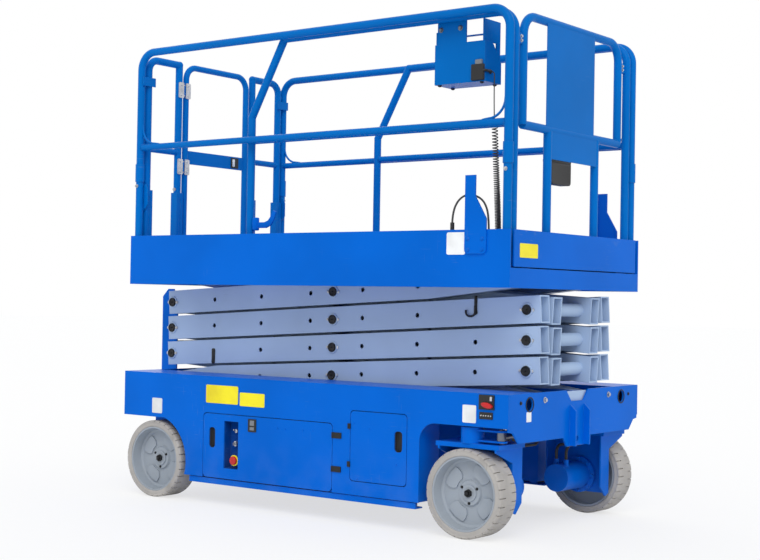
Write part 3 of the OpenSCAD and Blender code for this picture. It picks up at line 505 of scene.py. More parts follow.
@dataclass(frozen=True)
class Metal(Finish):
    """Bare, plated or blackened steel."""

    metallic: float = 1.0
    grain: float = 90.0

    def dress(self, graph: Graph, shader: bpy.types.Node, place: bpy.types.NodeSocket) -> None:
        """Draws the metal's drift of tone, its fine scratches and its oil film."""
        film = graph.effect(Effect.FILM, Vector=place, Broad=16.0, Fine=self.grain)
        scuffs = graph.effect(Effect.SCUFFS, Vector=place, Density=1.6, Share=0.5)
        base = self.drift(graph, film.outputs["Tone"], 0.9, 1.08)
        graph.put(shader.inputs["Base Color"], graph.mix(scuffs.outputs["Mask"], base,
                                                         linear(shade(self.colour, 1.25))))
        shader.inputs["Metallic"].default_value = self.metallic
        graph.put(shader.inputs["Roughness"], graph.span(film.outputs["Peel"], 0.2, 0.8,
                                                         self.roughness * 0.8, self.roughness * 1.25))
        self.bump(graph, shader, film.outputs["Peel"], 0.00008)


@dataclass(frozen=True)
class Plastic(Finish):
    """Moulded plastic with a fine grain and a little dust."""

    dust: float = 0.2
    dust_tone: Screen = (150, 150, 150)

    def dress(self, graph: Graph, shader: bpy.types.Node, place: bpy.types.NodeSocket) -> None:
        """Draws the moulded grain, rubbed lines and dust."""
        grain = graph.effect(Effect.GRAIN, Vector=place, Fine=900.0)
        grime = graph.effect(Effect.GRIME, Vector=place, Level=self.dust, Patch=12.0)
        scuffs = graph.effect(Effect.SCUFFS, Vector=place, Density=1.2, Share=0.2)
        base = self.drift(graph, grain.outputs["Tone"], 0.93, 1.06)
        base = graph.mix(scuffs.outputs["Mask"], base, linear(shade(self.colour, 1.6)))
        base = graph.mix(grime.outputs["Mask"], base, linear(self.dust_tone))
        graph.put(shader.inputs["Base Color"], base)
        graph.put(shader.inputs["Roughness"], graph.span(grain.outputs["Height"], 0.2, 0.8,
                                                         self.roughness - 0.08, self.roughness + 0.1))
        self.bump(graph, shader, grain.outputs["Height"], 0.00012)


class Finishes(Enum):
    """The machine's finishes."""

    BLUE = Paint("blue_enamel", (0, 102, 209), 0.3, "blue_paint", dust=0.08, scuffs=0.2)
    # The rail finish is the blue enamel made darker for rails, gate and control box: painted shade.
    RAIL = Paint("blue_rail_enamel", (0, 108, 192), 0.3, "blue_paint", dust=0.08, scuffs=0.2)
    DECK = Paint("blue_deck_enamel", (0, 102, 209), 0.32, dust=0.14, scuffs=0.3, tread=0.034)
    DARK_BLUE = Paint("shaded_blue_enamel", (0, 62, 140), 0.42)
    ARM = Paint("arm_enamel", (172, 194, 224), 0.4, "arm_paint", dust=0.18, scuffs=0.15, wear_and_highlight=0.15)
    RIM = Paint("rim_enamel", (162, 170, 179), 0.42, "rim_paint", dust=0.3, scuffs=0.2, wear_and_highlight=0.2)
    TYRE = Rubber("pale_tyre_rubber", (178, 174, 169), 0.75, "tyre_rubber")
    CORD = Rubber("cord_rubber", (34, 34, 37), 0.5, scrub=(58, 57, 56), amount=0.2)
    STEEL = Metal("oiled_steel", (112, 116, 124), 0.42, "steel")
    ZINC = Metal("zinc_plate", (188, 190, 194), 0.3, "steel")
    CHROME = Metal("chromed_rod", (214, 216, 220), 0.12)
    BLACK_METAL = Metal("blackened_steel", (27, 28, 31), 0.5, "black_metal", metallic=0.3)
    BLACK = Plastic("black_moulding", (20, 21, 24), 0.5, "black_plastic")
    RED = Plastic("red_moulding", (196, 22, 24), 0.36, dust=0.05)
    YELLOW = Plastic("yellow_blank_plate", (248, 226, 4), 0.42, dust=0.04)
    WHITE = Plastic("white_blank_plate", (236, 238, 239), 0.42, dust=0.04)
    GREY = Plastic("grey_moulding", (120, 124, 130), 0.45)

    def on(self, obj: bpy.types.Object) -> None:
        """Gives the finish to all of an object."""
        made = self.value.material()
        if obj.material_slots:
            for slot in obj.material_slots:
                slot.link = "OBJECT"
                slot.material = made
        else:
            obj.data.materials.append(made)


# Modelling by hand


def deselect() -> None:
    """Leaves edit mode and deselects everything."""
    current = bpy.context.view_layer.objects.active
    if current is not None and current.mode != "OBJECT":
        bpy.ops.object.mode_set(mode="OBJECT")
    for obj in bpy.context.selected_objects:
        obj.select_set(False)


def standing(at: Point, direction: Point, turn: float = 0.0) -> Matrix:
    """Where a copy of a template stands.

    Args:
        at: the point that its base goes to.
        direction: where its top looks.
        turn: turn about its own axis, in degrees.

    Returns:
        The matrix that puts it there.
    """
    facing = Vector(direction).to_track_quat("Z", "Y").to_matrix().to_4x4()
    return Matrix.Translation(at) @ facing @ Matrix.Rotation(math.radians(turn), 4, "Z")


def on_sides(y: float, spots: Sequence[Tuple[float, float]], turn: float = 0.0) -> List[Matrix]:
    """Places on both sides that look outwards.

    Args:
        y: their distance from the middle.
        spots: their X and Z.
        turn: turn about their own axes, in degrees.

    Returns:
        The matrices, one side after the other.
    """
    return [standing((x, side.value * y, z), side.out, turn) for side in Side for x, z in spots]


def facing(direction: Point, least: float = 0.9) -> Test:
    """A test for faces that look in a direction."""
    aim = Vector(direction)
    return lambda middle, normal: normal.dot(aim) > least


def along(direction: Point) -> Test:
    """A test for edges that run along a direction, or faces that look along it either way."""
    aim = Vector(direction)
    return lambda middle, lie: abs(lie.dot(aim)) > 0.9


def fillet(corner: Point, first: Point, second: Point, radius: float, steps: int = 8) -> List[Vector]:
    """A quarter round that joins two square legs.

    Args:
        corner: where the legs would meet.
        first: direction of the leg it comes from.
        second: direction of the leg it leaves by.
        radius: its radius.
        steps: how many chords it has.

    Returns:
        Its points.
    """
    come, leave = Vector(first), Vector(second)
    centre = Vector(corner) + radius * (come + leave)
    turns = [math.pi / 2 * i / steps for i in range(steps + 1)]
    return [centre - radius * (leave * math.cos(a) + come * math.sin(a)) for a in turns]


def drawn_line(name: str, points: Sequence[Point], diameter: float, fineness: int = 2) -> bpy.types.Object:
    """A round line along points, as one open spline.

    Args:
        name: the object's name.
        points: what it follows.
        diameter: its thickness.
        fineness: how round its section is.

    Returns:
        The curve object.
    """
    data = bpy.data.curves.new(name, "CURVE")
    data.dimensions = "3D"
    data.bevel_depth, data.bevel_resolution, data.use_fill_caps = diameter / 2, fineness, True
    spline = data.splines.new("POLY")
    spline.points.add(len(points) - 1)
    for knot, point in zip(spline.points, points):
        knot.co = (*point, 1.0)
    spline.use_smooth = True
    obj = bpy.data.objects.new(name, data)
    bpy.context.scene.collection.objects.link(obj)
    return obj


class Shape:
    """A new piece that starts as a primitive and is shaped in edit mode."""

    def __init__(self, name: str, obj: Optional[bpy.types.Object] = None) -> None:
        """Takes the object that was just added, and names it."""
        self.obj = obj or bpy.context.view_layer.objects.active
        self.obj.name = name
        self.obj.data.name = name

    @classmethod
    def block(cls, name: str, low: Point, high: Point) -> "Shape":
        """A block between two corners."""
        deselect()
        first, last = Vector(low), Vector(high)
        bpy.ops.mesh.primitive_cube_add(size=1.0, location=(first + last) / 2)
        bpy.context.object.scale = last - first
        bpy.ops.object.transform_apply(location=True, rotation=True, scale=True)
        return cls(name)

    @classmethod
    def drum(cls, name: str, start: Point, end: Point, radius: float, sides: int = 32,
             tip: Optional[float] = None) -> "Shape":
        """A round bar or cone.

        Args:
            name: the piece's name.
            start: middle of its first end.
            end: middle of its other end.
            radius: radius at the start.
            sides: how many sides it has.
            tip: radius at the end, if another one.

        Returns:
            The new shape.
        """
        deselect()
        first, last = Vector(start), Vector(end)
        run = last - first
        bpy.ops.mesh.primitive_cone_add(
            vertices=sides, radius1=radius, radius2=radius if tip is None else tip, depth=run.length,
            location=(first + last) / 2, rotation=run.to_track_quat("Z", "Y").to_euler())
        bpy.ops.object.transform_apply(location=True, rotation=True, scale=True)
        return cls(name)

    @classmethod
    def outline(cls, name: str, points: Sequence[Point]) -> "Shape":
        """A closed line, drawn from point to point by extruding one vertex.

        Args:
            name: the piece's name.
            points: the line's points.

        Returns:
            The new shape, in edit mode and still without faces.
        """
        deselect()
        bpy.ops.mesh.primitive_plane_add(size=0.001, location=points[0])
        bpy.ops.object.transform_apply(location=True, rotation=True, scale=True)
        made = cls(name)
        made.edit()
        bpy.ops.mesh.select_mode(type="VERT")
        bpy.ops.mesh.select_all(action="SELECT")
        bpy.ops.mesh.merge(type="CENTER")
        for before, after in zip(points, points[1:]):
            step = Vector(after) - Vector(before)
            bpy.ops.mesh.extrude_region_move(TRANSFORM_OT_translate={"value": step})
        bpy.ops.mesh.select_all(action="DESELECT")
        net = bmesh.from_edit_mesh(made.obj.data)
        for vert in net.verts:
            if len(vert.link_edges) == 1:
                vert.select_set(True)
        bmesh.update_edit_mesh(made.obj.data)
        bpy.ops.mesh.edge_face_add()
        return made

    @classmethod
    def slab(cls, name: str, points: Sequence[Point], move: Point) -> "Shape":
        """A flat plate, filled from its outline and extruded by a move."""
        made = cls.outline(name, points)
        bpy.ops.mesh.select_all(action="SELECT")
        bpy.ops.mesh.edge_face_add()
        made.extrude(move)
        bpy.ops.mesh.select_all(action="SELECT")
        bpy.ops.mesh.normals_make_consistent(inside=False)
        bpy.ops.object.mode_set(mode="OBJECT")
        return made

    @classmethod
    def rod(cls, name: str, points: Sequence[Point], diameter: float) -> "Shape":
        """A bent round bar, drawn as a line and turned into a mesh."""
        deselect()
        obj = drawn_line(name, points, diameter, 3)
        obj.select_set(True)
        bpy.context.view_layer.objects.active = obj
        bpy.ops.object.convert(target="MESH")
        return cls(name)

    def focus(self) -> None:
        """Makes this the only selected and active object."""
        deselect()
        self.obj.select_set(True)
        bpy.context.view_layer.objects.active = self.obj

    def edit(self) -> None:
        """Goes into edit mode with nothing selected."""
        self.focus()
        bpy.ops.object.mode_set(mode="EDIT")
        bpy.ops.mesh.select_all(action="DESELECT")

    def pick(self, test: Test, kind: Pick = Pick.FACES) -> "Shape":
        """Selects faces or edges in edit mode.

        Args:
            test: says yes to a middle point and a normal, or an edge's direction.
            kind: whether faces or edges are tested.

        Returns:
            This shape, in edit mode.
        """
        self.edit()
        bpy.ops.mesh.select_mode(type=kind.value)
        net = bmesh.from_edit_mesh(self.obj.data)
        if kind is Pick.FACES:
            for face in net.faces:
                if test(face.calc_center_median(), face.normal):
                    face.select_set(True)
        else:
            for edge in net.edges:
                ends = [v.co for v in edge.verts]
                if test((ends[0] + ends[1]) / 2, (ends[1] - ends[0]).normalized()):
                    edge.select_set(True)
        bmesh.update_edit_mesh(self.obj.data)
        return self

    def inset(self, width: float, depth: float = 0.0) -> "Shape":
        """Insets what is selected, and moves the inside in or out."""
        bpy.ops.mesh.inset(thickness=width, depth=depth)
        return self

    def extrude(self, move: Point) -> "Shape":
        """Extrudes what is selected by a move."""
        bpy.ops.mesh.extrude_region_move(TRANSFORM_OT_translate={"value": move})
        return self

    def bevel(self, width: float, steps: int = 3) -> "Shape":
        """Bevels the selected edges."""
        bpy.ops.mesh.bevel(offset=width, segments=steps, affect="EDGES")
        return self

    def spin(self, centre: Point, axis: Point, steps: int) -> "Shape":
        """Spins what is selected a full turn, closes the seam and sets the normals."""
        bpy.ops.mesh.spin(steps=steps, angle=2 * math.pi, center=centre, axis=axis)
        bpy.ops.mesh.select_all(action="SELECT")
        bpy.ops.mesh.remove_doubles(threshold=1e-5)
        bpy.ops.mesh.normals_make_consistent(inside=False)
        return self

    def soften(self, width: float, steps: int = 2, angle: float = 30.0) -> "Shape":
        """Rounds every edge that is sharper than an angle, with a modifier."""
        self.focus()
        rounder = self.obj.modifiers.new("soften", "BEVEL")
        rounder.width = width
        rounder.segments = steps
        rounder.limit_method = "ANGLE"
        rounder.angle_limit = math.radians(angle)
        bpy.ops.object.modifier_apply(modifier=rounder.name)
        return self

    def copy(self, name: str, place: Matrix) -> "Shape":
        """A copy with its own mesh, moved by a matrix."""
        deselect()
        obj = self.obj.copy()
        obj.data = self.obj.data.copy()
        obj.data.transform(place)
        if place.determinant() < 0:
            obj.data.flip_normals()
        bpy.context.scene.collection.objects.link(obj)
        return Shape(name, obj)

    def array(self, name: str, places: Sequence[Matrix]) -> "Shape":
        """Copies this template to each place, joins the copies and removes the template."""
        made = Shape.join(name, [self.copy(f"{name}_{i}", p) for i, p in enumerate(places)])
        mesh = self.obj.data
        bpy.data.objects.remove(self.obj)
        bpy.data.meshes.remove(mesh)
        return made

    @staticmethod
    def join(name: str, shapes: Sequence["Shape"]) -> "Shape":
        """Joins shapes into the first one."""
        deselect()
        for shape in shapes:
            shape.obj.select_set(True)
        bpy.context.view_layer.objects.active = shapes[0].obj
        bpy.ops.object.join()
        return Shape(name, shapes[0].obj)

    def done(self, finish: Finishes, body: str, stands_for: Sequence[str] = ()) -> None:
        """Smooths and finishes the piece and hangs it on its body.

        Args:
            finish: what it is finished with.
            body: the CAD body it rides on.
            stands_for: the CAD nodes it replaces.
        """
        self.focus()
        bpy.ops.object.shade_smooth_by_angle(angle=SMOOTH_BELOW)
        self.obj.data.materials.clear()
        finish.on(self.obj)
        deselect()
        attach(self.obj, body)
        if stands_for:
            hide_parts(*stands_for)
        LOG.info("%s rides %s", self.obj.name, body)


class Hardware:
    """Templates of fasteners, standing on the origin and looking up +Z."""

    @staticmethod
    def hex_bolt(radius: float, height: float) -> Shape:
        """A hexagon head with a chamfered top on a flat washer."""
        head = Shape.drum("hex_head", (0, 0, height * 0.2), (0, 0, height), radius, 6)
        head.pick(facing(UP)).inset(radius * 0.14, radius * 0.1)
        washer = Shape.drum("washer", (0, 0, 0), (0, 0, height * 0.22), radius * 1.4, 24)
        washer.pick(facing(UP)).inset(radius * 0.12, radius * 0.05)
        return Shape.join("hex_bolt", [head, washer])

    @staticmethod
    def dome(radius: float, height: float, sides: int = 20) -> Shape:
        """A low dome, as a rivet or button head."""
        cap = Shape.drum("dome", (0, 0, 0), (0, 0, height * 0.45), radius, sides)
        for width, rise in ((0.18, 0.3), (0.3, 0.18), (0.2, 0.06)):
            cap.pick(facing(UP, 0.95)).inset(radius * width, height * rise)
        return cap

    @staticmethod
    def pin_head(radius: float, height: float) -> Shape:
        """A pivot pin's head with a turned recess and a grease nipple."""
        head = Shape.drum("pin_disc", (0, 0, 0), (0, 0, height), radius, 36)
        head.pick(facing(UP)).inset(radius * 0.2).inset(radius * 0.1, -height * 0.35)
        head.soften(height * 0.12)
        foot, tip = (0, 0, height * 0.5), (0, 0, height * 1.3)
        nipple = Shape.drum("nipple", foot, tip, radius * 0.16, 12, radius * 0.1)
        nipple.pick(facing(UP)).inset(radius * 0.03, height * 0.15)
        return Shape.join("pin_head", [head, nipple])

    @staticmethod
    def ring(outer: float, inner: float, height: float, sides: int = 40) -> Shape:
        """A flat ring, from a drum whose two ends are inset and bridged."""
        hoop = Shape.drum("ring", (0, 0, 0), (0, 0, height), outer, sides)
        hoop.pick(along(UP)).inset(outer - inner)
        bpy.ops.mesh.bridge_edge_loops()
        bpy.ops.object.mode_set(mode="OBJECT")
        return hoop.soften(height * 0.3)

    @staticmethod
    def keeper(length: float, width: float, thick: float) -> Shape:
        """A flat keeper bar with round ends, its middle on the origin, and a bolt at one end."""
        tab = Shape.block("keeper", (-length / 2, -width / 2, 0), (length / 2, width / 2, thick))
        tab.pick(along(UP), Pick.EDGES).bevel(width * 0.45, 5)
        tab.soften(thick * 0.18)
        bolt = Hardware.hex_bolt(width * 0.3, thick * 1.1)
        bolt.obj.data.transform(Matrix.Translation((length * 0.4, 0, thick)))
        return Shape.join("keeper", [tab, bolt])

    @staticmethod
    def plate(width: float, height: float, thick: float = 0.0014) -> Shape:
        """A bare plate with round corners and a pressed border, its middle on the origin."""
        sheet = Shape.block("plate", (-width / 2, -height / 2, 0), (width / 2, height / 2, thick))
        sheet.pick(along(UP), Pick.EDGES).bevel(min(width, height) * 0.08, 4)
        sheet.pick(facing(UP)).inset(min(width, height) * 0.06, -thick * 0.25)
        return sheet

    @staticmethod
    def weld(radius: float, bead: float) -> Shape:
        """A lumpy weld bead round a tube."""
        deselect()
        bpy.ops.mesh.primitive_torus_add(major_radius=radius, minor_radius=bead, major_segments=30,
                                         minor_segments=8)
        ring = Shape("weld")
        ring.edit()
        bpy.ops.mesh.select_all(action="SELECT")
        bpy.ops.transform.vertex_random(offset=bead * 0.18, uniform=0.4, normal=0.6, seed=4)
        bpy.ops.object.mode_set(mode="OBJECT")
        return ring


# The scene


@dataclass
class Studio:
    """Camera at the photograph's angle, soft light and a pale floor."""

    position: Point = (4.3244, -5.6018, 1.0051)
    yaw: float = 37.19
    pitch: float = 0.786
    roll: float = 0.997
    lens: float = 67.56
    sensor_w: float = 36.0
    far: float = 200.0
    dome: float = 0.72
    dome_tint: Tuple[float, float, float, float] = (0.97, 0.985, 1.0, 1.0)
    sun: float = 1.15
    key_from: Point = (1.6, -2.2, 2.6)
    key_spread: float = 38.0
    fill_from: Point = (-2.5, 1.6, 2.0)
    fill_spread: float = 60.0
    fill_share: float = 0.25
    floor_r: float = 60.0
    floor_drop: float = 0.0005
    floor_tone: float = 0.95
    floor_glow: float = 0.68

    def build(self) -> None:
        """Sets the view transform and makes camera, world, lamps and floor."""
        bpy.context.scene.view_settings.view_transform = "Standard"
        self.camera()
        self.world()
        self.lamps()
        self.floor()

    def camera(self) -> None:
        """The camera, from its place and three angles."""
        yaw, pitch, roll = (math.radians(a) for a in (self.yaw, self.pitch, self.roll))
        level = Vector((-math.sin(yaw), math.cos(yaw), 0.0))
        ahead = level * math.cos(pitch) + Vector(UP) * math.sin(pitch)
        right = Vector((math.cos(yaw), math.sin(yaw), 0.0))
        up = right.cross(ahead)
        across = math.cos(roll) * right + math.sin(roll) * up
        upward = -math.sin(roll) * right + math.cos(roll) * up
        data = bpy.data.cameras.new("photo_camera")
        data.lens, data.sensor_width, data.sensor_fit = self.lens, self.sensor_w, "HORIZONTAL"
        data.clip_end = self.far
        view = bpy.data.objects.new("photo_camera", data)
        turn = Matrix((across, upward, -ahead)).transposed().to_4x4()
        view.matrix_world = Matrix.Translation(self.position) @ turn
        bpy.context.scene.collection.objects.link(view)
        bpy.context.scene.camera = view

    def world(self) -> None:
        """A pale dome that looks white to the camera and in reflections."""
        world = bpy.data.worlds.new("pale_dome")
        bpy.context.scene.world = world
        world.use_nodes = True
        world.node_tree.nodes.clear()
        graph = Graph(world.node_tree)
        light, white = graph.add("ShaderNodeBackground"), graph.add("ShaderNodeBackground")
        light.inputs["Color"].default_value = self.dome_tint
        light.inputs["Strength"].default_value = self.dome
        white.inputs["Color"].default_value = (1.0, 1.0, 1.0, 1.0)
        surface = graph.add("ShaderNodeOutputWorld").inputs["Surface"]
        graph.put(surface, graph.blend(graph.seen(), light, white))

    def lamps(self) -> None:
        """A soft key from the front right and a weak fill from behind."""
        for name, strength, spread, source in (
                ("key", self.sun, self.key_spread, self.key_from),
                ("fill", self.sun * self.fill_share, self.fill_spread, self.fill_from)):
            data = bpy.data.lights.new(name, "SUN")
            data.energy, data.angle = strength, math.radians(spread)
            lamp = bpy.data.objects.new(name, data)
            lamp.rotation_euler = Vector(source).to_track_quat("Z", "Y").to_euler()
            bpy.context.scene.collection.objects.link(lamp)

    def floor(self) -> None:
        """A wide pale floor that keeps the shadow and is nearly white to the camera elsewhere."""
        deselect()
        bpy.ops.mesh.primitive_circle_add(vertices=96, radius=self.floor_r, fill_type="NGON",
                                          location=(0, 0, -self.floor_drop))
        ground = bpy.context.object
        ground.name = "floor"
        finish = bpy.data.materials.new("pale_floor")
        finish.use_nodes = True
        graph = Graph(finish.node_tree)
        shader = graph.find("BSDF_PRINCIPLED")
        shader.inputs["Base Color"].default_value = (self.floor_tone, self.floor_tone, self.floor_tone, 1.0)
        shader.inputs["Roughness"].default_value = 0.9
        share = graph.product(graph.seen(), self.floor_glow)
        lit = graph.blend(share, shader, graph.add("ShaderNodeEmission"))
        graph.put(graph.find("OUTPUT_MATERIAL").inputs["Surface"], lit)
        ground.data.materials.append(finish)


@dataclass
class Cords:
    """The control box's coiled cord and the cord of the platform's outlet."""

    cord_d: float = 0.005
    plug_x: float = 0.985
    plug_z: float = 1.995
    lead_x: float = 1.006
    lead_r: float = 0.016
    lead_top: float = 1.965
    lead_step: float = 0.02
    hang_y: float = -0.440
    sway: float = 0.032
    sway_top: float = 1.93
    sway_fall: float = 0.73
    coil_r: float = 0.0115
    coil_top: float = 1.76
    coil_foot: float = 1.235
    loose_pitch: float = 0.0150
    close_pitch: float = 0.0066
    tightening: float = 1.6
    turn_steps: int = 16
    bend_reach: float = 0.0095
    bend_steps: int = 6
    behind: float = 127.0
    tail_foot: float = 1.168
    tail_step: float = 0.012
    deck_z: float = 1.1605
    outlet_d: float = 0.009
    outlet_y: float = -0.557

    def build(self) -> None:
        self.coil()
        self.outlet()

    def line(self, height: float) -> Vector:
        """Middle of the hanging cord at a height."""
        share = max(0.0, min(1.0, (self.sway_top - height) / self.sway_fall))
        return Vector((self.lead_x + self.sway * share * share * (3 - 2 * share), self.hang_y, height))

    def hang(self, high: float, low: float, step: float) -> List[Vector]:
        """Points of the hanging line, from one height down to another in steps."""
        return [self.line(high - step * i) for i in range(math.ceil((high - low) / step))]

    def coil(self) -> None:
        """A lead that leaves the plug, bends down and hangs as a coil to the deck."""
        points = [Vector((self.plug_x + 0.0025 * i, self.hang_y, self.plug_z)) for i in range(2)]
        points += fillet(self.line(self.plug_z), BACK, DOWN, self.lead_r)
        points += self.hang(self.lead_top, self.coil_top + self.lead_step, self.lead_step)
        points += self.turns()
        points += self.hang(points[-1].z - self.tail_step, self.tail_foot, self.tail_step)
        points.append(self.line(self.deck_z))
        obj = drawn_line("coiled_control_cord", points, self.cord_d)
        self.declare(obj, "extension", "control_cord")

    def turns(self) -> List[Vector]:
        """The coil's turns, with a bend at each end that leads into the hanging line.

        Returns:
            The points from the upper bend to the lower one.
        """
        depths = [0.0]
        fall = self.coil_top - self.coil_foot
        while depths[-1] < fall:
            easing = min(1.0, depths[-1] / fall * self.tightening)
            pitch = self.loose_pitch + (self.close_pitch - self.loose_pitch) * easing
            depths.append(depths[-1] + pitch / self.turn_steps)
        count = len(depths) - 1
        lean, behind = math.atan2(self.bend_reach, self.coil_r), math.radians(self.behind)
        aside = Vector((math.cos(behind), math.sin(behind), 0.0)) * math.hypot(self.coil_r, self.bend_reach)
        first, whole = behind + lean, 2 * math.pi * round(count / self.turn_steps) - 2 * lean
        coil = []
        for i, depth in enumerate(depths):
            angle = first + whole * i / count
            middle = self.line(self.coil_top - depth * fall / depths[-1]) - aside
            coil.append(middle + self.coil_r * Vector((math.cos(angle), math.sin(angle), 0.0)))
        upper = self.bend(coil[0], first, self.loose_pitch, 1)
        lower = self.bend(coil[-1], first + whole, self.close_pitch, -1)
        return [*reversed(upper), *coil, *lower]

    def bend(self, end: Vector, angle: float, pitch: float, rise: int) -> List[Vector]:
        """A round bend from the end of a turn into the upright line.

        Args:
            end: the turn's end.
            angle: its angle round the coil.
            pitch: how far the coil drops in a turn there.
            rise: 1 where the bend leads up, -1 where it leads down.

        Returns:
            The bend's points, from the turn outwards.
        """
        slope = math.atan2(pitch, 2 * math.pi * self.coil_r)
        radius = self.bend_reach / (1 - math.sin(slope))
        onward = Vector((math.sin(angle), -math.cos(angle), 0.0)) * rise
        upward = Vector((0.0, 0.0, float(rise)))
        middle = end - radius * (math.sin(slope) * onward - math.cos(slope) * upward)
        swept = (math.pi / 2 - slope) / self.bend_steps
        turns = [slope + swept * i for i in range(1, self.bend_steps + 1)]
        return [middle + radius * (math.sin(turn) * onward - math.cos(turn) * upward) for turn in turns]

    def outlet(self) -> None:
        """A stout cord that arches behind the near stanchion."""
        rise = [(880, 1220), (880, 1290), (880, 1350), (888, 1395), (905, 1427), (930, 1448), (960, 1456)]
        fall = [(1000, 1450), (1035, 1428), (1056, 1390), (1064, 1340), (1066, 1280), (1066, 1220)]
        knots = [Vector((x / 1000, self.outlet_y, z / 1000)) for x, z in (*rise, *fall)]
        points = self.smooth(knots, 4)
        obj = drawn_line("outlet_cord_run", points, self.outlet_d)
        self.declare(obj, "platform", "outlet_cord")

    def smooth(self, knots: Sequence[Vector], steps: int) -> List[Vector]:
        """A smooth line through knots.

        Args:
            knots: the points that it passes through.
            steps: how many points lie from one knot to the next.

        Returns:
            The line's points.
        """
        points: List[Vector] = []
        for i in range(len(knots) - 1):
            before, first = knots[max(0, i - 1)], knots[i]
            last, after = knots[i + 1], knots[min(len(knots) - 1, i + 2)]
            for k in range(steps):
                t = k / steps
                points.append(0.5 * (2 * first + (last - before) * t
                                     + (2 * before - 5 * first + 4 * last - after) * t * t
                                     + (3 * first - before - 3 * last + after) * t * t * t))
        points.append(knots[-1])
        return points

    def declare(self, obj: bpy.types.Object,
                body: str, node: str) -> None:
        """Finishes a cord, hangs it on its body and hides the CAD node it replaces.

        Args:
            obj: the cord.
            body: the CAD body it rides on.
            node: the CAD node it replaces.
        """
        Finishes.CORD.on(obj)
        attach(obj, body)
        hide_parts(node)


@dataclass
class WheelSet:
    """Tyres with cut shoulders, and the flanges and nuts on their hubs."""

    front_x: float = 0.974
    rear_x: float = -0.886
    middle_y: float = 0.5215
    axle_z: float = 0.1905
    outer_r: float = 0.1905
    inner_r: float = 0.1597
    half_w: float = 0.0635
    segments: int = 256
    slot_every: int = 8
    slot_reach: float = 0.041
    slot_deep: float = 0.0055
    slot_margin: float = 0.0007
    shoulder: float = 0.009
    disc_y: float = -0.0113
    screw_r: float = 0.044

    def build(self) -> None:
        """Builds one tyre and one hub's fittings and copies them to the four wheels."""
        tyre = self.tyre()
        flange, nut = self.hub()
        for end, x in (("front", self.front_x), ("rear", self.rear_x)):
            for side in Side:
                tag = f"{end}_{side.tag}"
                body = f"wheel_{tag}"
                place = Matrix.Translation((x, side.value * self.middle_y, self.axle_z))
                tyre.copy(f"tread_{tag}", place).done(Finishes.TYRE, body, [f"tyre_{tag}"])
                turned = place @ Matrix.Rotation(0.0 if side is Side.RIGHT else math.pi, 4, "Z")
                flange.copy(f"hub_flange_{tag}", turned).done(Finishes.RIM, body)
                nut.copy(f"hub_nut_{tag}", turned).done(Finishes.BLACK_METAL, body)
        for template in (tyre, flange, nut):
            bpy.data.objects.remove(template.obj)

    def tyre(self) -> Shape:
        """A tyre spun from its section, with slots cut from each shoulder by turns."""
        half, top, low = self.half_w, self.outer_r, self.inner_r
        right = [(low, -half + 0.003), (low + 0.003, -half), (low + 0.012, -half),
                 (low + 0.014, -half + 0.0008), (top - 0.010, -half + 0.0008), (top - 0.008, -half),
                 (top - 0.0035, -half + 0.0016), (top - 0.001, -half + 0.0048), (top, -half + 0.0085),
                 (top, -half + 0.020), (top, -half + self.slot_reach)]
        section = [*right, *[(r, -y) for r, y in reversed(right)]]
        ring = Shape.outline("tyre", [(0.0, y, r) for r, y in section])
        bpy.ops.mesh.select_all(action="SELECT")
        ring.spin((0, 0, 0), LEFT, self.segments)

        def slot(centre: Vector, normal: Vector) -> bool:
            """One segment in every few from one shoulder, and those halfway between from the other."""
            turn = math.floor(math.atan2(centre.x, centre.z) / (2 * math.pi) * self.segments)
            outside = math.hypot(centre.x, centre.z) > top - self.shoulder
            phase = turn % self.slot_every
            from_right = phase == 0 and centre.y < -half + self.slot_reach
            from_left = phase == self.slot_every // 2 and centre.y > half - self.slot_reach
            return outside and (from_right or from_left)

        return ring.pick(slot).inset(self.slot_margin, -self.slot_deep)

    def hub(self) -> Tuple[Shape, Shape]:
        """A flange on the axle's end, and the nut, stub and three screws on it."""
        flange = Shape.drum("hub_flange", (0, self.disc_y, 0), (0, -0.0160, 0), 0.036, 40)
        flange.pick(facing(RIGHT)).inset(0.005, 0.0012).inset(0.004, -0.0014)
        nut = Shape.drum("hub_nut", (0, -0.0150, 0), (0, -0.0285, 0), 0.0175, 6)
        nut.pick(facing(RIGHT)).inset(0.003, 0.0014).inset(0.004, -0.004)
        nut.soften(0.0008)
        stub = Shape.drum("axle_stub", (0, -0.02, 0), (0, -0.034, 0), 0.0075, 20)
        stub.pick(facing(RIGHT)).inset(0.002, 0.0014)
        around = [standing((self.screw_r * math.cos(a), self.disc_y, self.screw_r * math.sin(a)), RIGHT)
                  for a in (0.5, 2.6, 4.7)]
        screws = Hardware.hex_bolt(0.0046, 0.006).array("hub_screws", around)
        return flange, Shape.join("hub_nut", [nut, stub, screws])


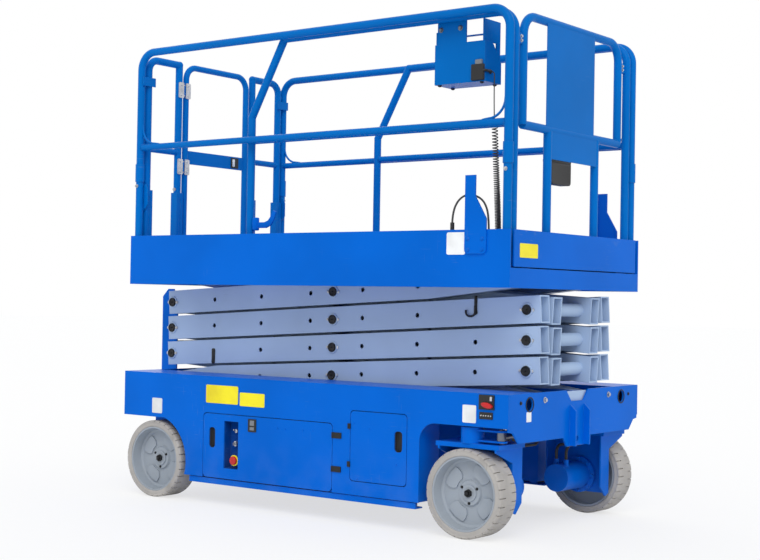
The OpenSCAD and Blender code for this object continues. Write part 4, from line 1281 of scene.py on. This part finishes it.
@dataclass
class StackTrim:
    """Pin heads, keeper bars and bosses on the outer arms, a hook for a lead, and a dark block whose colour
    is painted shade of an arm's slot.
    """

    rear_x: float = -1.047
    span: float = 2.156
    foot_z: float = 0.575
    pitch: float = 0.1325
    stages: int = 4
    face_y: float = 0.309
    hook_x: float = 0.845
    hook_y: float = -0.318
    hook_z: float = 0.938
    hook_w: float = 0.048

    def build(self) -> None:
        """Dresses each stage's outer arms, and adds the hook and the dark block that paints the shade of an
        arm's slot.
        """
        for stage in range(1, self.stages + 1):
            self.pins(stage)
        self.hook()
        self.slot_shade()

    def pins(self, stage: int) -> None:
        """Heads, keepers and bosses on one stage's pins, where they show."""
        base = self.foot_z + (stage - 1) * self.pitch
        rear, middle, front = ((self.rear_x + self.span * part / 2, base + self.pitch * part / 2)
                               for part in range(3))
        spots = [rear] if stage > 1 else []
        spots.append(middle)
        if stage < self.stages:
            spots.append(front)
        heads, tabs, beads = [], [], []
        for side in Side:
            for x, z in spots:
                lie = Matrix.Rotation(math.radians(-90 * side.value), 4, "X")
                turn = Matrix.Rotation(math.pi if x > 0 else 0.0, 4, "Y")
                tabs.append(Matrix.Translation((x, side.value * self.face_y, z)) @ turn @ lie)
                heads.append(standing((x, side.value * (self.face_y + 0.003), z), side.out))
                beads.append(standing((x, side.value * self.face_y, z), side.out))
        body = f"outer_{stage}"
        Hardware.pin_head(0.0215, 0.0085).array(f"pin_heads_{stage}", heads).done(Finishes.BLACK_METAL, body)
        Hardware.keeper(0.074, 0.016, 0.004).array(f"pin_keepers_{stage}", tabs).done(Finishes.ZINC, body)
        Hardware.ring(0.0305, 0.0225, 0.0046).array(f"pin_bosses_{stage}", beads).done(Finishes.ARM, body)

    def hook(self) -> None:
        """A hook for the supply lead, bolted to the top right arm."""
        plane = -self.face_y - 0.0005
        rim = [(0.838, 1.030), (0.852, 1.030), (0.852, 0.950), (self.hook_x, 0.943), (0.838, 0.950)]
        bar = Shape.slab("hook_bar", [(x, plane, z) for x, z in rim], (0, -0.005, 0))
        bar.soften(0.001)
        near = (self.hook_x, self.hook_y, self.hook_z)
        far = (self.hook_x - self.hook_w, self.hook_y, self.hook_z)
        points = [(self.hook_x, self.hook_y, 0.985), *fillet(near, UP, BACK, 0.020),
                  *fillet(far, AHEAD, UP, 0.020), (far[0], self.hook_y, 0.966)]
        prong = Shape.rod("hook_prong", points, 0.009)
        Shape.join("lead_hook", [bar, prong]).done(Finishes.BLACK_METAL, "outer_4")

    def slot_shade(self) -> None:
        """A dark block where the second stage's right arm has a slot; its dark colour is painted shade of the
        slot.
        """
        slot_shade = Shape.block("arm_slot_shade", (-0.760, -0.3125, 0.664), (-0.738, -0.3093, 0.742))
        slot_shade.pick(along(LEFT), Pick.EDGES).bevel(0.008, 4)
        slot_shade.soften(0.0007)
        slot_shade.done(Finishes.BLACK_METAL, "outer_2")


@dataclass
class ChassisTrim:
    """Blank plates, bolts, latches, sockets and the ground station on the chassis."""

    skirt_y: float = 0.578
    front_x: float = 1.190
    rear_x: float = -1.1163
    pipe_x: float = 0.900
    pipe_z: float = 0.440
    pipe_bend: float = 0.030
    motor_y: float = 0.239
    motor_pipe_z: float = 0.338
    step_foot: float = 0.3135
    step_rise: float = 0.225
    pack_y: float = 0.5005
    pump_y: float = -0.493
    well_z: float = 0.472
    bay_z: float = 0.131
    hatch_thick: float = 0.005
    hose_z: float = 0.456
    clamp_y: float = 0.193
    clamp_rise: float = 0.027
    clamp_x: Tuple[float, ...] = (-0.500, -0.180, 0.140, 0.460)
    station_x: float = -0.357

    def build(self) -> None:
        """Dresses the chassis, its doors and the ground station."""
        self.plates()
        self.front()
        self.latches()
        self.sockets()
        self.station()
        self.gauge()
        self.pipes()
        self.motor_pipes()
        self.packs()
        for side in Side:
            self.screws(side)
            self.seal(side)
        self.rear()
        self.hatch()
        self.hoses()
        self.belly_bolts()

    def plates(self) -> None:
        """Bare plates on both skirts, where the real ones carry words."""
        yellow = ((-0.430, 0.5345, 0.210, 0.087), (-0.2345, 0.519, 0.157, 0.064))
        white = ((-0.872, 0.4565, 0.070, 0.075), (0.997, 0.5305, 0.068, 0.075))
        for name, finish, plates in (("yellow_plates", Finishes.YELLOW, yellow),
                                     ("white_plates", Finishes.WHITE, white)):
            made = [Hardware.plate(width, height).array(name, on_sides(self.skirt_y, [(x, z)]))
                    for x, z, width, height in plates]
            Shape.join(name, made).done(finish, "chassis")

    def ahead(self, y: float, z: float, turn: float = 0.0) -> List[Matrix]:
        """Two places on the front plate, one on each side, that look ahead."""
        return [standing((self.front_x, side.value * y, z), AHEAD, turn) for side in Side]

    def front(self) -> None:
        """Bolts, eyelets, a bare plate and the stop plate behind the notch of the front plate."""
        bolts = Hardware.hex_bolt(0.0095, 0.009).array("front_bolts", self.ahead(0.285, 0.586, 10))
        bolts.done(Finishes.ZINC, "chassis")
        screws = Hardware.hex_bolt(0.006, 0.005).array("front_screws", self.ahead(0.482, 0.581, 25))
        screws.done(Finishes.BLACK_METAL, "chassis")
        eyelets = Hardware.ring(0.0325, 0.0282, 0.003).array("tie_eyelets", self.ahead(0.410, 0.572))
        eyelets.done(Finishes.BLACK_METAL, "chassis")
        place = standing((self.front_x, -0.416, 0.520), AHEAD)
        Hardware.plate(0.038, 0.042).array("front_white_plate", [place]).done(Finishes.WHITE, "chassis")
        stop = Shape.block("track_stop", (1.1735, -0.094, 0.542), (1.1790, 0.094, 0.614))
        stop.pick(facing(AHEAD)).inset(0.008, -0.001)
        stop.soften(0.001)
        stop.done(Finishes.ARM, "chassis")

    def pipes(self) -> None:
        """Three dark pipes that run under the well, clear of the steering."""
        runs = []
        for k, near in enumerate((-0.130, -0.108, -0.086)):
            low, far = 0.345 + 0.016 * k, 0.150 + 0.022 * k
            points = [(0.700, near, self.pipe_z),
                      *fillet((self.pipe_x, near, self.pipe_z), BACK, DOWN, self.pipe_bend),
                      *fillet((self.pipe_x, near, low), UP, LEFT, self.pipe_bend),
                      *fillet((self.pipe_x, far, low), RIGHT, UP, self.pipe_bend),
                      (self.pipe_x, far, self.pipe_z)]
            runs.append(Shape.rod("pipe", points, 0.013))
        Shape.join("brake_pipes", runs).done(Finishes.CORD, "chassis")

    def motor_pipes(self) -> None:
        """Two pipes on each drive motor, which turn with its knuckle."""
        for side in Side:
            inward = (0, -side.value, 0)
            near, far = side.value * self.motor_y, side.value * 0.400
            tails = []
            for x in (0.948, 1.000):
                points = [(x, near, 0.268), *fillet((x, near, self.motor_pipe_z), DOWN, side.out, 0.036),
                          *fillet((x, far, self.motor_pipe_z), inward, UP, 0.030)]
                tails.append(Shape.rod("motor_pipe", [*points, points[-1] + Vector((0, 0, 0.012))], 0.014))
            Shape.join(f"motor_pipes_{side.tag}", tails).done(Finishes.CORD, f"knuckle_{side.tag}")

    def screws(self, side: Side) -> None:
        """Small painted screws on one side's doors."""
        spots = {"rear": [(-0.072, 0.397), (-0.025, 0.395), (0.082, 0.397), (0.140, 0.401)],
                 "front": [(0.381, 0.450), (0.468, 0.429), (0.619, 0.284), (0.404, 0.203)]}
        for end, places in spots.items():
            heads = [standing((x, side.value * self.skirt_y, z), side.out) for x, z in places]
            screws = Hardware.dome(0.0042, 0.0022, 12).array(f"door_screws_{side.tag}_{end}", heads)
            screws.done(Finishes.BLUE, f"door_{side.tag}_{end}")

    def seal(self, side: Side) -> None:
        """A black strip in the gap over one side's pothole guard, where the guard's upper flange sits; its
        black is painted shade of the gap.
        """
        low, high = sorted((side.value * 0.549, side.value * 0.556))
        strip = Shape.block(f"guard_seal_{side.tag}", (-0.640, low, 0.112), (0.716, high, 0.1295))
        strip.soften(0.0015)
        strip.done(Finishes.BLACK, "chassis")

    def rear(self) -> None:
        """Grips on the ladder's steps, and its bolts."""
        grip = Shape.block("step_grip", (-0.004, -0.190, 0.0), (0.004, 0.190, 0.0028))
        grip.soften(0.001)
        places = [Matrix.Translation((-1.196 + 0.017 * row, 0, self.step_foot + self.step_rise * step))
                  for step in range(4) for row in range(4)]
        grip.array("step_grips", places).done(Finishes.BLACK, "chassis")
        bolts = [standing((self.rear_x, y, 0.474), BACK, 10) for y in (-0.165, -0.055, 0.055, 0.165)]
        Hardware.hex_bolt(0.0085, 0.008).array("ladder_bolts", bolts).done(Finishes.ZINC, "chassis")

    def packs(self) -> None:
        """Cell lids on the batteries, and the power unit's reservoir and motor."""
        lid = Shape.block("cell_lid", (-0.074, -0.056, 0.0), (0.074, 0.056, 0.012))
        lid.pick(facing(UP)).inset(0.008, 0.003)
        lid.soften(0.002)
        vents = [Matrix.Translation((x, 0, 0.014)) for x in (-0.045, 0, 0.045)]
        caps = Hardware.dome(0.012, 0.010).array("vent_caps", vents)
        places = [Matrix.Translation((-0.526 + 0.160 * i, self.pack_y, 0.3905)) for i in range(4)]
        Shape.join("cell_lid", [lid, caps]).array("battery_lids", places).done(Finishes.GREY, "chassis")
        tank_top = 0.425
        tank = Shape.block("oil_tank", (-0.270, -0.540, 0.3805), (-0.110, -0.446, tank_top))
        tank.pick(along(UP), Pick.EDGES).bevel(0.014, 4)
        tank.soften(0.003)
        cap = Shape.drum("oil_cap", (-0.150, self.pump_y, tank_top), (-0.150, self.pump_y, 0.436), 0.017, 10)
        cap.pick(facing(UP)).inset(0.003, 0.002)
        Shape.join("oil_tank", [tank, cap]).done(Finishes.GREY, "chassis")
        shaft_z = 0.4265
        ends = (-0.080, self.pump_y, shaft_z), (0.110, self.pump_y, shaft_z)
        motor = Shape.drum("pump_motor", *ends, 0.044, 36)
        motor.pick(along(AHEAD)).inset(0.006, 0.004).inset(0.010, -0.002)
        motor.done(Finishes.BLACK_METAL, "chassis")

    def hatch(self) -> None:
        """A service hatch under the well."""
        hatch = Shape.block("belly_hatch", (-0.440, -0.160, self.well_z - self.hatch_thick),
                            (0.020, 0.100, self.well_z + 0.001))
        hatch.pick(along(UP), Pick.EDGES).bevel(0.030, 5)
        hatch.pick(facing(DOWN)).inset(0.018).inset(0.005, 0.003)
        hatch.soften(0.001)
        hatch.done(Finishes.BLUE, "chassis")

    def hoses(self) -> None:
        """Two hoses under the well, in clamps."""
        hoses = []
        for y in (self.clamp_y - 0.013, self.clamp_y + 0.013):
            points = [(-0.600, y, self.well_z), *fillet((-0.600, y, self.hose_z), UP, AHEAD, 0.014),
                      *fillet((0.690, y, self.hose_z), BACK, UP, 0.014), (0.690, y, self.well_z)]
            hoses.append(Shape.rod("hose", points, 0.017))
        Shape.join("belly_hoses", hoses).done(Finishes.CORD, "chassis")
        clamp = Shape.block("clamp", (-0.014, -0.036, 0.0), (0.014, 0.036, self.clamp_rise))
        clamp.pick(along(AHEAD), Pick.EDGES).bevel(0.006, 3)
        clamp.soften(0.001)
        clamps = [standing((x, self.clamp_y, self.well_z), DOWN) for x in self.clamp_x]
        clamp.array("hose_clamps", clamps).done(Finishes.BLACK, "chassis")

    def belly_bolts(self) -> None:
        """Bolts of the hatch, the well, the bays and the clamps, seen from below."""
        spots = []
        for x, step, count, rows, z in ((-0.425, 0.143, 4, (-0.145, 0.085), self.well_z - self.hatch_thick),
                                        (-0.560, 0.130, 11, (-0.310, 0.310), self.well_z),
                                        (-0.600, 0.160, 9, (-0.475, 0.475), self.bay_z)):
            spots += [(x + step * i, y, z) for i in range(count) for y in rows]
        spots += [(x, self.clamp_y, self.well_z - self.clamp_rise) for x in self.clamp_x]
        places = [standing(at, DOWN, 15) for at in spots]
        Hardware.hex_bolt(0.0075, 0.006).array("belly_bolts", places).done(Finishes.ZINC, "chassis")

    def latches(self) -> None:
        """A sprung paddle behind each door's hand slot."""
        for end, x, z, width, height in (("rear", -0.491, 0.325, 0.052, 0.112),
                                         ("front", 0.6275, 0.3845, 0.056, 0.104)):
            for side in Side:
                near, far = sorted(side.value * (self.skirt_y - depth) for depth in (0.0065, 0.024))
                low = (x - width / 2, near, z - height / 2)
                high = (x + width / 2, far, z + height / 2)
                cup = Shape.block(f"latch_{side.tag}_{end}", low, high)
                cup.pick(along(LEFT), Pick.EDGES).bevel(0.014, 4)
                cup.pick(facing(side.out)).inset(0.006).inset(0.004, -0.012)
                cup.soften(0.0012)
                cup.done(Finishes.BLACK, f"door_{side.tag}_{end}")

    def sockets(self) -> None:
        """Handle and lever on the upper socket, and contacts on the lower one."""
        handle = Shape.drum("socket_handle", (0, 0, 0), (0, 0, 0.010), 0.013, 28)
        handle.pick(facing(UP)).inset(0.003, 0.002).inset(0.004, 0.0006)
        lay = Matrix.Translation((1.0905, -0.5840, 0.5715)) @ Matrix.Rotation(math.radians(90), 4, "X")
        lay = lay @ Matrix.Rotation(math.radians(-12), 4, "Z") @ Matrix.Diagonal((2.1, 0.85, 1.0, 1.0))
        handle.array("socket_handle", [lay]).done(Finishes.RED, "chassis")
        lever = Shape.block("socket_lever", (1.104, -0.5895, 0.590), (1.115, -0.5838, 0.609))
        lever.soften(0.0015)
        contacts = [standing((1.058 + 0.012 * i, -0.5820, 0.5275), RIGHT) for i in range(5)]
        pins = Hardware.dome(0.0035, 0.003, 12).array("socket_pins", contacts)
        Shape.join("socket_fittings", [lever, pins]).done(Finishes.ZINC, "chassis")

    def knob(self, name: str, z: float, inner: float, outer: float, radius: float, sides: int) -> Shape:
        """A drum on the ground station that looks out to the right.

        Args:
            name: the piece's name.
            z: its height.
            inner: Y of its foot.
            outer: Y of its top.
            radius: its radius.
            sides: how many sides it has.

        Returns:
            The new shape.
        """
        return Shape.drum(name, (self.station_x, inner, z), (self.station_x, outer, z), radius, sides)

    def station(self) -> None:
        """Stop button, key switch and toggle in the rear right door's recess."""
        body = "door_right_rear"
        stop_z, key_z, toggle_z = 0.222, 0.302, 0.362
        mushroom = self.knob("station_stop", stop_z, -0.5645, -0.5745, 0.0205, 32)
        mushroom.pick(facing(RIGHT)).inset(0.004, 0.002).inset(0.006, 0.0008)
        mushroom.soften(0.0012)
        mushroom.done(Finishes.RED, body)
        collar = self.knob("station_collar", stop_z, -0.562, -0.5646, 0.026, 32)
        collar.pick(facing(RIGHT)).inset(0.002, 0.0006)
        collar.done(Finishes.YELLOW, body)
        lock = self.knob("station_key", key_z, -0.549, -0.557, 0.0125, 28)
        lock.pick(facing(RIGHT)).inset(0.003, -0.0014)
        blade = Shape.block("key_blade", (-0.3583, -0.572, 0.2945), (-0.3557, -0.555, 0.3095))
        blade.soften(0.0008)
        Shape.join("station_key", [lock, blade]).done(Finishes.ZINC, body)
        nut = self.knob("toggle_nut", toggle_z, -0.549, -0.554, 0.0095, 6)
        nut.soften(0.0006)
        foot, tip = (self.station_x, -0.552, toggle_z), (self.station_x, -0.570, toggle_z + 0.007)
        lever = Shape.drum("toggle_lever", foot, tip, 0.0024, 14, 0.0036)
        lever.pick(facing(RIGHT, 0.7)).inset(0.001, 0.0012)
        Shape.join("station_toggle", [nut, lever]).done(Finishes.ZINC, body)

    def gauge(self) -> None:
        """The charge gauge on the rear right door, with a blank screen and a key."""
        body = "door_right_rear"
        gauge = Shape.block("charge_gauge", (-0.256, -0.5815, 0.368), (-0.205, -self.skirt_y, 0.429))
        gauge.pick(along(LEFT), Pick.EDGES).bevel(0.004, 3)
        gauge.pick(facing(RIGHT)).inset(0.0035, -0.0010)
        gauge.done(Finishes.BLACK, body)
        panes = []
        for name, low, high, rise in (("gauge_screen", 0.398, 0.422, -0.0005),
                                      ("gauge_keys", 0.376, 0.391, 0.0005)):
            pane = Shape.block(name, (-0.244, -0.5818, low), (-0.217, -0.5800, high))
            pane.pick(facing(RIGHT)).inset(0.002, rise)
            panes.append(pane)
        Shape.join("gauge_screen", panes).done(Finishes.GREY, body)


@dataclass
class PlatformTrim:
    """Plates, pins, braces, hinges and weld beads on the main deck's rails and gate."""

    panel_y: float = 0.575
    rail_y: float = 0.5497
    rear_x: float = -1.060
    front_x: float = 1.151
    mid_z: float = 1.759
    inner_y: float = 0.284
    tube_r: float = 0.017
    brace_r: float = 0.085
    brace_d: float = 0.011
    brace_leg: float = 0.030
    weld_gap: float = 0.0155
    hinge_y: float = -0.258
    hinge_z: Tuple[float, float] = (1.660, 2.062)
    leaf_thick: float = 0.0038
    latch_z: float = 1.740

    def build(self) -> None:
        """Dresses the deck, its guardrails and the gate."""
        plates = on_sides(self.panel_y, [(0.9125, 1.2495)])
        Hardware.plate(0.095, 0.095).array("deck_plates", plates).done(Finishes.WHITE, "platform")
        self.stanchion_bolts()
        self.rail_pins()
        self.braces()
        self.welds("mid_rail_welds", "platform", self.rail_y, self.rear_x, self.front_x)
        self.welds("extension_welds", "extension", 0.5017, -0.338, 1.146)
        self.hinges()
        self.latch()

    def stanchion_bolts(self) -> None:
        """Painted bolts that hold the stanchions to the toe boards."""
        spots = [(x, z) for x in (0.978, 1.050) for z in (1.222, 1.268)]
        places = on_sides(self.panel_y + 0.008, spots, 15)
        Hardware.hex_bolt(0.006, 0.0055).array("stanchion_bolts", places).done(Finishes.BLUE, "platform")

    def rail_pins(self) -> None:
        """Spring pins through the posts, over their sockets."""
        spots = ((self.rear_x, self.rail_y, 1.562), (self.rear_x, self.inner_y, 1.564),
                 (self.front_x, self.rail_y, 1.560))
        places = [standing((x, side.value * (y + 0.0185), z), side.out) for side in Side for x, y, z in spots]
        Hardware.hex_bolt(0.0065, 0.010).array("rail_pins", places).done(Finishes.ZINC, "platform")

    def braces(self) -> None:
        """Thin bent rods in the corners over the side mid rails."""
        rods = []
        for side in Side:
            for x, inward in ((self.rear_x, 1), (self.front_x, -1)):
                corner = (x + inward * self.tube_r, side.value * self.rail_y, self.mid_z + self.tube_r)
                bow = fillet(corner, UP, (inward, 0, 0), self.brace_r)
                upper = bow[0] + Vector((-0.004 * inward, 0, self.brace_leg))
                lower = bow[-1] + Vector((self.brace_leg * inward, 0, -0.004))
                rods.append(Shape.rod("brace", [upper, *bow, lower], self.brace_d))
        Shape.join("corner_braces", rods).done(Finishes.RAIL, "platform")

    def welds(self, name: str, body: str, y: float, rear: float, front: float) -> None:
        """Weld beads where mid rails meet their posts.

        Args:
            name: the beads' name.
            body: the CAD body they ride on.
            y: the rails' distance from the middle.
            rear: X of the rear posts.
            front: X of the front posts.
        """
        places = [standing((x, side.value * y, self.mid_z), AHEAD)
                  for side in Side for x in (rear + self.weld_gap, front - self.weld_gap)]
        Hardware.weld(0.0168, 0.0026).array(name, places).done(Finishes.RAIL, body)

    def hinges(self) -> None:
        """Pins and plated leaves of the gate's two hinges."""
        pin = Shape.drum("hinge_pin", (0, 0, 0), (0, 0, 0.058), 0.0062, 20)
        pin.pick(along(UP)).inset(0.0012, 0.0015)
        pins = [Matrix.Translation((self.rear_x + 0.012, self.hinge_y, z - 0.004)) for z in self.hinge_z]
        pin.array("gate_hinge_pins", pins).done(Finishes.ZINC, "platform")
        for name, body, low, high, x in (("post_leaves", "platform", -0.304, -0.267, self.rear_x + 0.0185),
                                         ("gate_leaves", "gate", -0.250, -0.215, self.rear_x + 0.0155)):
            face = x + self.leaf_thick
            leaf = Shape.block(name, (x, low, -0.016), (face, high, 0.066))
            leaf.pick(along(AHEAD), Pick.EDGES).bevel(0.006, 3)
            leaf.soften(0.0008)
            heads = [standing((face, (low + high) / 2, z), AHEAD) for z in (-0.002, 0.052)]
            screws = Hardware.dome(0.005, 0.003, 14).array("leaf_screws", heads)
            places = [Matrix.Translation((0, 0, z)) for z in self.hinge_z]
            Shape.join(name, [leaf, screws]).array(name, places).done(Finishes.ZINC, body)

    def latch(self) -> None:
        """The gate's sliding latch, with its slot and tab on the inside."""
        x, z = self.rear_x, self.latch_z
        case = Shape.block("gate_latch", (x - 0.022, 0.150, z - 0.018), (x - 0.003, 0.226, z + 0.018))
        case.pick(facing(BACK)).inset(0.007).inset(0.003, 0.006)
        case.soften(0.0016)
        bolt = Shape.drum("latch_bolt", (x - 0.012, 0.214, z), (x - 0.012, 0.256, z), 0.007, 20)
        bolt.pick(facing(LEFT)).inset(0.0018, 0.0016)
        Shape.join("gate_latch", [case, bolt]).done(Finishes.ZINC, "gate")
        slot = Shape.block("latch_slot", (x + 0.003, 0.118, z - 0.028), (x + 0.007, 0.176, z + 0.028))
        slot.pick(facing(AHEAD)).inset(0.006, -0.0015)
        slot.soften(0.001)
        slot.done(Finishes.BLACK, "gate")
        tab = Shape.block("latch_tab", (x + 0.005, 0.128, z - 0.020), (x + 0.012, 0.143, z + 0.020))
        tab.soften(0.002)
        tab.done(Finishes.WHITE, "gate")


@dataclass
class ExtensionTrim:
    """What the roll-out deck carries: control box fittings, manual box, plates and bolts."""

    box_x: float = 0.722
    box_y: float = -0.4824
    box_foot: float = 1.950
    slope_y: float = -0.3874
    slope_z: float = 2.0835
    slope: Point = (0, 0.772, 0.636)
    plug_z: float = 1.995
    elbow_x: float = 0.990
    elbow_y: float = -0.489
    lock_x: float = -0.302
    lock_y: float = -0.5017
    lid_rise: float = 0.016

    def build(self) -> None:
        """Dresses the extension's rails and boxes."""
        self.joystick()
        self.stop()
        self.toggles()
        self.fixings()
        self.plug()
        self.manual_box()
        self.lock()
        plate = [standing((1.185, -0.4285, 1.2215), AHEAD)]
        Hardware.plate(0.145, 0.060).array("front_plate", plate).done(Finishes.YELLOW, "extension")
        clips = [standing((1.148, side.value * 0.455, z), AHEAD) for side in Side for z in (2.112, 2.130)]
        Hardware.hex_bolt(0.006, 0.006).array("clip_bolts", clips).done(Finishes.ZINC, "extension")

    def on_slope(self, *along_box: float) -> List[Matrix]:
        """Places on the control box's sloping face, by their distances from its rear end."""
        return [standing((self.box_x + x, self.slope_y, self.slope_z), self.slope) for x in along_box]

    def joystick(self) -> None:
        """The control box's joystick, on a pleated boot."""
        boot = Shape.drum("joystick_boot", (0, 0, 0), (0, 0, 0.008), 0.022, 28, 0.021)
        for width, rise in ((0.002, 0.004), (0.002, 0.005), (0.001, 0.005)):
            boot.pick(facing(UP, 0.95)).inset(0.003)
            boot.pick(facing(UP, 0.95)).inset(width, rise)
        stick = Shape.drum("joystick_grip", (0, 0, 0.018), (0, 0, 0.052), 0.0062, 20, 0.0105)
        stick.pick(facing(UP, 0.95)).inset(0.003, 0.004).inset(0.003, 0.001)
        grip = Shape.join("joystick", [boot, stick]).array("joystick", self.on_slope(0.108))
        grip.done(Finishes.BLACK, "extension")

    def stop(self) -> None:
        """The control box's stop button."""
        stem = Shape.drum("stop", (0, 0, 0), (0, 0, 0.012), 0.012, 28)
        stem.pick(facing(UP, 0.95)).extrude((0, 0, 0.001))
        head = Shape.drum("stop_head", (0, 0, 0.012), (0, 0, 0.022), 0.019, 28)
        head.pick(facing(UP, 0.95)).inset(0.004, 0.002).inset(0.006, 0.001)
        button = Shape.join("stop", [stem, head]).array("box_stop", self.on_slope(0.043))
        button.done(Finishes.RED, "extension")

    def toggles(self) -> None:
        """The control box's three toggle switches."""
        lever = Shape.drum("toggle", (0, 0, 0), (0, 0, 0.020), 0.0022, 14, 0.0034)
        lever.pick(facing(UP, 0.95)).inset(0.001, 0.0012)
        nut = Shape.drum("toggle_nut", (0, 0, 0), (0, 0, 0.005), 0.0085, 6)
        nut.soften(0.0006)
        toggles = Shape.join("toggle", [lever, nut]).array("box_toggles", self.on_slope(0.158, 0.193, 0.228))
        toggles.done(Finishes.ZINC, "extension")

    def fixings(self) -> None:
        """Bolts of the control box's hanger, and the box's feet."""
        hangers = [standing((self.box_x + x, self.box_y, 2.190), RIGHT, 8) for x in (0.031, 0.133)]
        Hardware.hex_bolt(0.0085, 0.008).array("hanger_bolts", hangers).done(Finishes.STEEL, "extension")
        feet = [standing((self.box_x + x, y, self.box_foot), DOWN)
                for x in (0.02, 0.24) for y in (-0.470, -0.368)]
        Hardware.dome(0.009, 0.008).array("box_feet", feet).done(Finishes.BLACK, "extension")

    def plug(self) -> None:
        """The plug in the box's front corner, with a pale cap and the cord's gland."""
        shell = Shape.block("cord_plug", (0.920, -0.4960, 1.954), (0.9835, -0.470, 2.024))
        shell.pick(facing(RIGHT)).inset(0.008, -0.0012)
        shell.soften(0.004, 3)
        foot, tip = (0.980, -0.440, self.plug_z), (0.9915, -0.440, self.plug_z)
        gland = Shape.drum("cord_gland", foot, tip, 0.013, 24, 0.0062)
        gland.pick(facing(AHEAD)).inset(0.0012, 0.0008)
        points = [(0.972, self.elbow_y, self.plug_z),
                  *fillet((self.elbow_x, self.elbow_y, self.plug_z), BACK, LEFT, 0.010),
                  *fillet((self.elbow_x, -0.448, self.plug_z), RIGHT, BACK, 0.007)]
        elbow = Shape.rod("plug_elbow", points, 0.012)
        Shape.join("cord_plug", [shell, gland, elbow]).done(Finishes.BLACK, "extension")
        cap = Shape.block("plug_cap", (0.940, -0.4950, 2.022), (0.974, -0.472, 2.044))
        cap.soften(0.004, 3)
        cap.done(Finishes.GREY, "extension")

    def lock(self) -> None:
        """Lock lever of the roll-out deck, at the foot of its rear right post."""
        foot, top = (self.lock_x, self.lock_y, 1.330), (self.lock_x, self.lock_y, 1.386)
        knob = Shape.drum("lock_knob", foot, top, 0.017, 28)
        knob.pick(along(UP)).inset(0.003, 0.003)
        knob.soften(0.0015)
        link = Shape.block("lock_link", (-0.326, -0.5077, 1.340), (-0.296, -0.4957, 1.376))
        link.soften(0.0012)
        under = [(-0.300, 1.338), (-0.232, 1.338), (-0.205, 1.350), (-0.184, 1.376), (-0.172, 1.416)]
        over = [(-0.190, 1.422), (-0.206, 1.392), (-0.222, 1.374), (-0.244, 1.366), (-0.300, 1.366)]
        rim = [(x, -0.5060, z) for x, z in (*under, *over)]
        arm = Shape.slab("lock_arm", rim, (0, 0.0086, 0))
        arm.soften(0.0014)
        Shape.join("deck_lock", [knob, link, arm]).done(Finishes.BLUE, "extension")

    def manual_box(self) -> None:
        """A lidded moulded box for papers, under the front rail's plate."""
        low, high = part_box("document_box")
        rim = high.z - self.lid_rise
        case = Shape.block("manual_box", low, (high.x, high.y, rim))
        lies_along = along(AHEAD)
        case.pick(lambda c, d: lies_along(c, d) and c.z < low.z + 0.01, Pick.EDGES).bevel(0.016, 5)
        case.pick(along(AHEAD)).inset(0.010, -0.0016)
        case.soften(0.0016)
        lid = Shape.block("manual_lid", (low.x - 0.002, low.y - 0.001, rim), (high.x, high.y + 0.002, high.z))
        lid.soften(0.004, 3)
        Shape.join("manual_box", [case, lid]).done(Finishes.BLACK, "extension", ["document_box"])


class CadFinishes:
    """Gives each CAD node its procedural finish, by the record's slot."""

    by_slot: Dict[str, Finishes] = {
        "blue_paint": Finishes.BLUE, "dark_blue_paint": Finishes.DARK_BLUE, "arm_paint": Finishes.ARM,
        "steel": Finishes.STEEL, "chrome_rod": Finishes.CHROME, "tyre_rubber": Finishes.TYRE,
        "rim_paint": Finishes.RIM, "black_plastic": Finishes.BLACK, "black_metal": Finishes.BLACK_METAL,
        "cord_rubber": Finishes.CORD,
    }
    by_node: Dict[str, Finishes] = {
        "side_rails": Finishes.RAIL, "rear_rails": Finishes.RAIL, "gate": Finishes.RAIL,
        "extension_rails": Finishes.RAIL, "front_rail": Finishes.RAIL, "control_box": Finishes.RAIL,
        "main_deck": Finishes.DECK, "extension_deck": Finishes.DECK, "ground_controls": Finishes.DARK_BLUE,
        "drive_motor_right": Finishes.BLUE, "drive_motor_left": Finishes.BLUE,
        "king_pins": Finishes.DARK_BLUE,
    }

    def dress(self) -> None:
        """Finishes every CAD node."""
        for row in frame["record"]["subparts"]:
            node = row["node"]
            finish = self.by_node.get(node, self.by_slot[row["material_slot"]])
            finish.on(frame["nodes"][node])
            LOG.info("%s is finished in %s", node, finish.value.name)


def main() -> None:
    """Builds the scene in order."""
    logging.basicConfig(level=logging.INFO, format="%(message)s")
    Studio().build()
    Cords().build()
    CadFinishes().dress()
    for assembly in (WheelSet(), StackTrim(), ChassisTrim(), PlatformTrim(), ExtensionTrim()):
        assembly.build()
    deselect()


if __name__ == "__main__":
    main()
